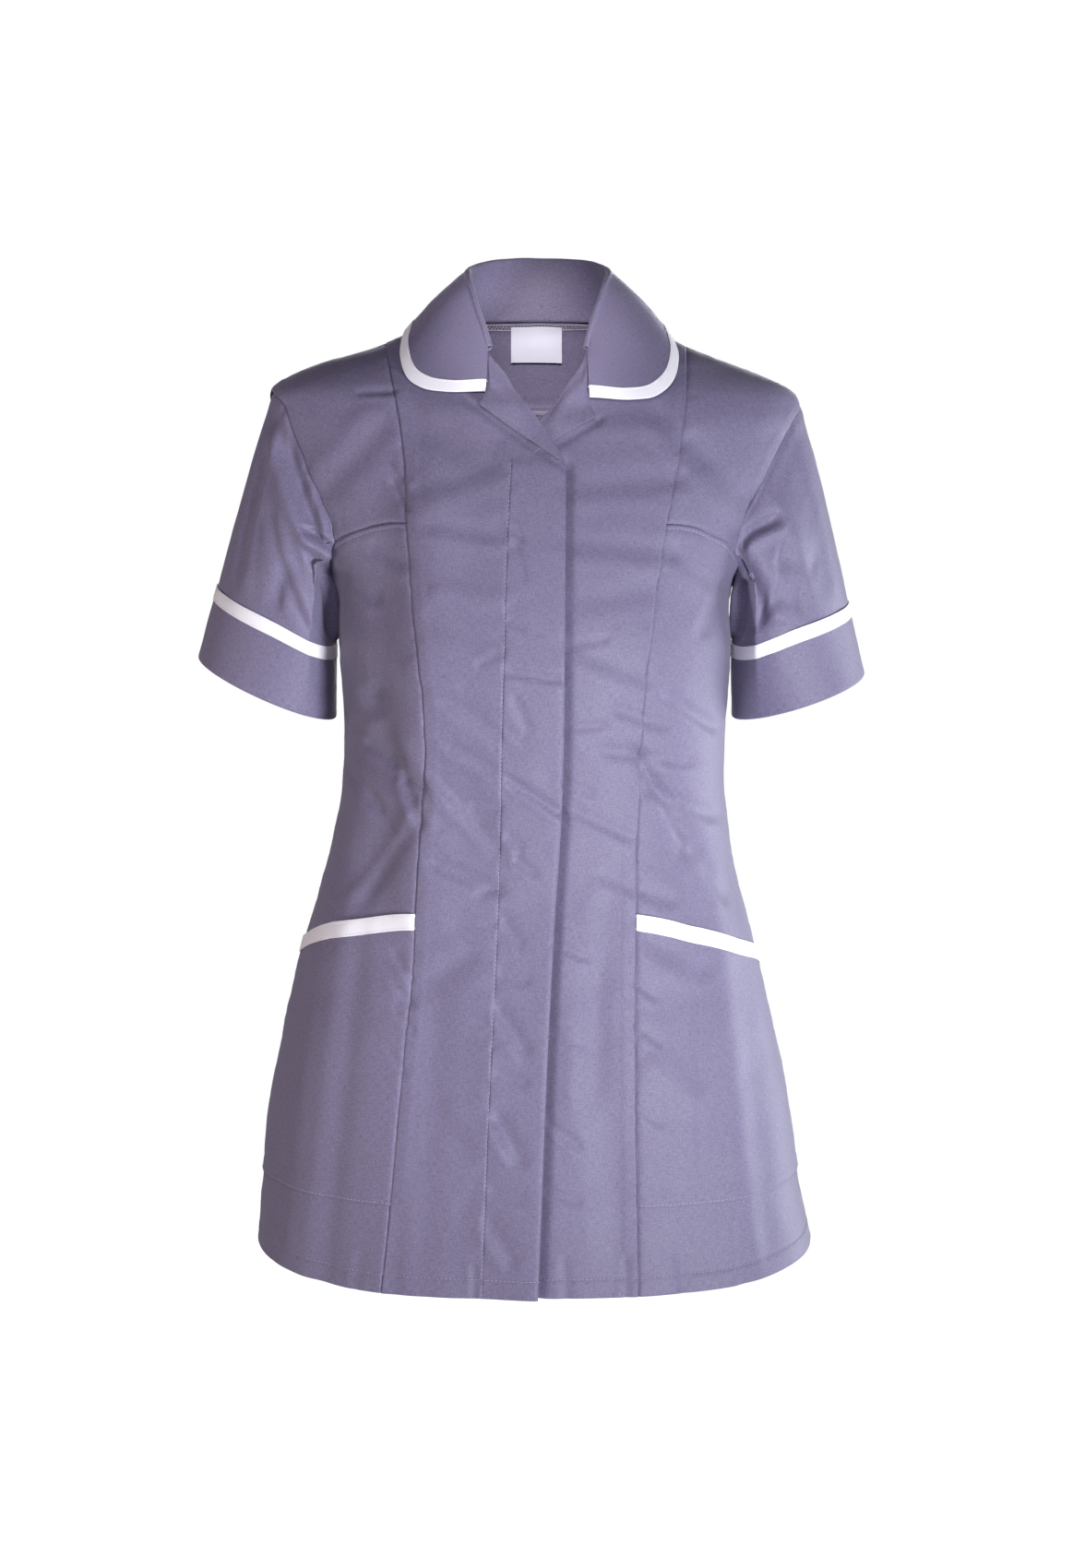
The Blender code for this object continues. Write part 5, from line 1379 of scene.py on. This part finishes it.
def sleeve_form(side):
    """The smooth sleeve: rows from the cuff's fold up to the armhole, columns round from outside. Each
    point has its place, its degrees round and its share down."""
    loop, armpit = armhole_loop(side)
    start = in_place(loop)
    distance = travelled(np.vstack([start, start[:1]]))
    front, whole = distance[armpit], distance[-1]
    distance = distance[:-1]
    around = np.where(distance <= front, 180 * distance / front,
                      180 + 180 * (distance - front) / (whole - front))
    turn = np.radians(around)[:, None]
    folded_back = smoothstep(0.3 - 1.6 * np.cos(turn))
    start = start + (UNDERARM_GAP * folded_back - SET_IN) * body_normal(loop[:, 0], loop[:, 1])
    middle, outward, forward = (np.array(value, float) for value in CUFF_RINGS[side].values())
    end = middle + np.cos(turn) * outward + np.sin(turn) * forward
    sign = -1 if side == "right" else 1
    leaves = {key: np.array(value) * (sign, 1, 1) for key, value in SLEEVE_LEAVES.items()}
    outer, ahead = np.clip(np.cos(turn), 0, 1), np.clip(np.sin(turn), 0, 1)
    under, behind = np.clip(-np.cos(turn), 0, 1), np.clip(-np.sin(turn), 0, 1)
    first = unit(outer**2 * leaves["outer"] + ahead**2 * leaves["front"]
                 + under**2 * leaves["under"] + behind**2 * leaves["back"])
    straight = end - start
    length = np.linalg.norm(straight, axis=1, keepdims=True)
    near = start + SLEEVE_EASE["at armhole"] * length * first
    far = end - SLEEVE_EASE["at cuff"] * straight
    cuff_top = 1 - CUFF_DEPTH / length
    tape_foot = 1 - (CUFF_DEPTH - CUFF_TAPE) / length
    levels = (np.ones_like(length), tape_foot, cuff_top, np.zeros_like(length))
    t = joined(*[low + (high - low) * np.linspace(0, 1, count + 1)[:, None, None]
                 for low, high, count in zip(levels, levels[1:], SLEEVE_ROWS.values())])
    rows = (1 - t) ** 3 * start + 3 * t * (1 - t) ** 2 * near + 3 * t * t * (1 - t) * far + t**3 * end
    around = np.broadcast_to(around, t.shape[:2])[..., None]
    return np.concatenate([rows, around, t], -1), cuff_top[:, 0], body_normal(loop[:, 0], loop[:, 1])


def round_distances(rows):
    return distances(np.concatenate([rows, rows[:, :1]], 1))


def band(form, bottom, top):
    """A stretch of a sleeve with lines added near its edges: its form, normals and distances."""
    form = closer(form, form[..., :3], 0, near_lines(bottom), near_lines(top))
    return form, grid_normals(form[..., :3], 0, closed=True), round_distances(form[..., :3])


def cuff_unevenness(points, seed):
    return 0.3 * soft_noise(points, 45, 70 + seed) + 0.12 * soft_noise(points, 16, 71)


cuff_rows = SLEEVE_ROWS["cuff"] + SLEEVE_ROWS["tape"] + 1
for side, seed in (("right", 15), ("left", 16)):
    whole, cuff_top_share, out_of_body = sleeve_form(side)

    form, normals, far = band(whole, "lip", "sewn")
    points, turned, down = form[..., :3], form[..., 3], form[..., 4]
    up, top, along = (far[key][:, :-1] for key in ("bottom", "top", "left"))
    folds = sleeve_troughs(SLEEVE_FOLDS[side], turned, down, 0) * smoothstep(down / SLEEVE_FOLD_FADE)
    creases = sleeve_troughs(SLEEVE_CREASES[side], turned, down, RIDGE_SHARE) * smoothstep(down / 0.02)
    raised = (folds + creases) * smoothstep((cuff_top_share - down) / SLEEVE_FOLD_FADE)
    raised = raised + 0.35 * soft_noise(points, 55, 30 + seed) + 0.15 * soft_noise(points, 18, 31)
    raised = raised + edge_relief(top, along, "free", seed) + edge_relief(up, along, "lip", seed)
    head = hump(top - 6, 5) * smoothstep(np.cos(np.radians(turned)) + 0.4)
    gathers = puckers(top, along, 14, 60 + seed, 11) * smoothstep(top / 2)
    raised = raised + 0.9 * head + 0.8 * gathers
    points = np.concatenate([points, points[-1:] - SLEEVE_ALLOWANCE * out_of_body[None]])
    normals, raised = np.concatenate([normals, normals[-1:]]), np.concatenate([raised, raised[-1:]])
    hang("sleeve_cloth_" + side, "sleeve_" + side, points, normals, round_distances(points), raised,
         np.full_like(raised, CLOTH), cloth, closed=True)

    form, normals, far = band(whole[:cuff_rows], "lip", "lip")
    points = form[..., :3]
    up, top = far["bottom"][:, :-1], far["top"][:, :-1]
    turned_back = np.sqrt(1 - (1 - np.clip(up / 2.2, 0, 1)) ** 2)
    raised = 0.2 + (CUFF_LIFT - 0.2) * turned_back + cuff_unevenness(points, seed)
    thickness = CUFF * (1 - 0.5 * hump(up, 0.6)) * (1 - 0.4 * hump(top, 0.6))
    hang("cuff_cloth_" + side, "cuff_" + side, points, normals, far, raised, thickness, cloth,
         closed=True)

    form, normals, far = band(whole[SLEEVE_ROWS["cuff"]:cuff_rows], "tape", "tape")
    points = form[..., :3]
    raised = CUFF_LIFT + CUFF_TAPE_LIFT + cuff_unevenness(points, seed)
    for edge in ("bottom", "top"):
        raised = raised + edge_relief(far[edge][:, :-1], far["left"][:, :-1], "tape", seed)
    made = hang("cuff_tape_cloth_" + side, "cuff_tape_" + side, points, normals, far, raised,
                np.full_like(raised, CUFF_TAPE_WALL), tape, closed=True)
    sew_tape("cuff_tape_stitches_" + side, made)


# The collar is a stand and a fall in one, two cloths thick, rolled over at the neck and lying on the
# shoulders. Its outer edge is bound with the white tape.
COLLAR_SECTIONS = {
    "neck": (0, 0.06, 0.1, 0.13, 0.17, 0.22, 0.29, 0.38, 0.5, 0.62, 0.71, 0.78, 0.83, 0.87, 0.9, 0.94, 1),
    "roll_x": (-34.3, -39, -42.5, -45.5, -49, -51, -48, -34, 0, 36, 50, 53.5, 50.5, 47, 43.5, 40, 35.8),
    "roll_y": (-47.5, -35, -26, -17, -5, 10, 30, 52, 62, 52, 30, 10, -5, -17, -26, -35, -47.5),
    "roll_z": (-12.5, 3, 13, 23, 34, 41, 46, 51, 53, 51, 46.5, 41.5, 34, 23, 13, 3, -12.5),
    "edge_x": (-36.5, -66, -83, -92.5, -98, -96, -90, -68, 0, 68, 92, 99, 102, 97, 87, 69, 38),
    "edge_y": (-70, -67, -62.5, -56, -40, -10, 26, 56, 68, 56, 26, -10, -40, -57, -65, -70, -72.5),
}
COLLAR_COLUMNS = 150
COLLAR_TAPE = 9.7
COLLAR_LIFT = 1.7
COLLAR_ROLL = 1.4
COLLAR_FOOT_GAP = 0.5
COLLAR = 1.2
COLLAR_TAPE_LIFT = 1.75
COLLAR_TAPE_WALL = 0.6
STAND_ROWS = 14
ROLL_ROWS = 6
FALL_ROWS = 22
TAPE_ROWS = 5
STAND_BOW = 0.06
FALL_BOW = 0.05
SHOULDERS_BETWEEN_Z = (-58, 10)
HALVINGS = 30


def height_over(x, y):
    """Height of the body's shoulders over a place seen from above."""
    low, high = np.full_like(x, SHOULDERS_BETWEEN_Z[0]), np.full_like(x, SHOULDERS_BETWEEN_Z[1])
    for _ in range(HALVINGS):
        z = (low + high) / 2
        right, left, front, back, power = ring(z)
        across = np.abs(x) / np.where(x < 0, right, left)
        ahead = np.abs(y) / np.where(y < 0, front, back)
        outside = across**power + ahead**power > 1
        low, high = np.where(outside, low, z), np.where(outside, z, high)
    return (low + high) / 2


neck = joined(same_turn(seam["front neck right"]), seam["back neck"][::-1], seam["front neck left"][::-1])
neck_points = in_place(neck)
place = np.linspace(0, 1, COLLAR_COLUMNS + 1)
along_seam = travelled(neck_points)
foot = np.stack([np.interp(place * along_seam[-1], along_seam, neck_points[:, axis]) for axis in range(3)], 1)
sections = {key: np.array(values, float) for key, values in COLLAR_SECTIONS.items()}
roll = np.stack([spline(place, sections["neck"], sections["roll_" + axis]) for axis in "xyz"], 1)
edge_x, edge_y = (spline(place, sections["neck"], sections["edge_" + axis]) for axis in "xy")
edge_z = height_over(edge_x, edge_y)
edge_angle = angle_at(edge_x, edge_z, behind=edge_y > 0)
lying = plain_body(edge_angle, edge_z) + COLLAR_LIFT * body_normal(edge_angle, edge_z)
outward = unit(lying - foot)
along = unit(np.gradient(roll, axis=0))
sideways = unit(np.cross(along, np.array([0, 0, 1.0])))
upward = np.cross(sideways, along)
outward = unit(outward - upward * np.sum(outward * upward, 1, keepdims=True)
               - along * np.sum(outward * along, 1, keepdims=True))
foot = foot + COLLAR_FOOT_GAP * unit(roll - foot)
stand = [foot + (roll - outward * COLLAR_ROLL - foot) * t
         - outward * STAND_BOW * np.linalg.norm(roll - foot, axis=1, keepdims=True) * math.sin(math.pi * t)
         for t in np.linspace(0, 1, STAND_ROWS + 1)]
rolled = [roll + COLLAR_ROLL * (math.sin(turn) * upward - math.cos(turn) * outward)
          for turn in np.linspace(0, half_turn, ROLL_ROWS + 1)[1:-1]]
start = roll + outward * COLLAR_ROLL
depth = np.linalg.norm(lying - start, axis=1, keepdims=True)
tape_share = 1 - COLLAR_TAPE / depth
falls = [tape_share * t for t in np.linspace(0, 1, FALL_ROWS + 1)] \
    + [tape_share + (1 - tape_share) * t for t in np.linspace(0, 1, TAPE_ROWS + 1)[1:]]
fall = [start + (lying - start) * t + upward * FALL_BOW * depth * np.sin(np.pi * t) for t in falls]
collar_rows = np.array(stand + rolled + fall)


def collar_piece(name, solid, rows, edges, seed, lift, thickness, material):
    """A piece of the collar: its smooth rows, raised over the seams, with its own edges and thickness."""
    points = closer(rows, rows, 1, *map(near_lines, edges[:2]))
    points = closer(points, points, 0, *map(near_lines, edges[2:]))
    far = distances(points)
    raised = lift + all_edges_relief(far, edges, seed)
    raised = raised + 0.3 * soft_noise(points, 40, 90) + 0.1 * soft_noise(points, 14, 91)
    return hang(name, solid, points, grid_normals(points, -3), far, raised,
                edge_thickness(far, edges, thickness), material)


collar_piece("collar_cloth", "collar", collar_rows, ("free", "free", "sewn", "free"), 17, COLLAR, COLLAR,
             cloth)
made = collar_piece("collar_tape_cloth", "collar_tape", collar_rows[-TAPE_ROWS - 1:],
                    ("free", "free", "tape", "free"), 18, COLLAR_TAPE_LIFT, COLLAR_TAPE_WALL, tape)
sew("collar_tape_stitches", [stitch_line(made, "bottom", kind="tape")], white_thread)


# The label is a bare piece of woven satin ribbon, sewn inside the back neck by its top edge. It hangs
# flat against the yoke, a little off it at the foot.
LABEL = {"width": 39, "top": 5, "bottom": -21, "lift": -2.4, "stands off": 1.2, "curl": 0.5, "wall": 0.4}
LABEL_COLUMNS = 25
LABEL_ROWS = 17
label_satin = woven("bare satin label", (0.7, 0.7, 0.78), (0.86, 0.86, 0.95), 0.0004, 0.15, 0.08,
                    0.45, 0.1, 0.15)


def label_lift(grid, far):
    """The label stands off a little towards its foot and curls at its side."""
    down = LABEL["top"] - LABEL["bottom"]
    return LABEL["lift"] - LABEL["stands off"] * smoothstep(far["top"] / down) \
        - LABEL["curl"] * hump(far["left"], 4)


across, height = np.meshgrid(np.linspace(LABEL["width"] / 2, -LABEL["width"] / 2, LABEL_COLUMNS),
                             np.linspace(LABEL["bottom"], LABEL["top"], LABEL_ROWS))
body_piece("label_cloth", "label", np.stack([angle_at(across, height, behind=True), height], -1),
           ("free",) * 4, 19, lift=label_lift, thickness=LABEL["wall"], material=label_satin)
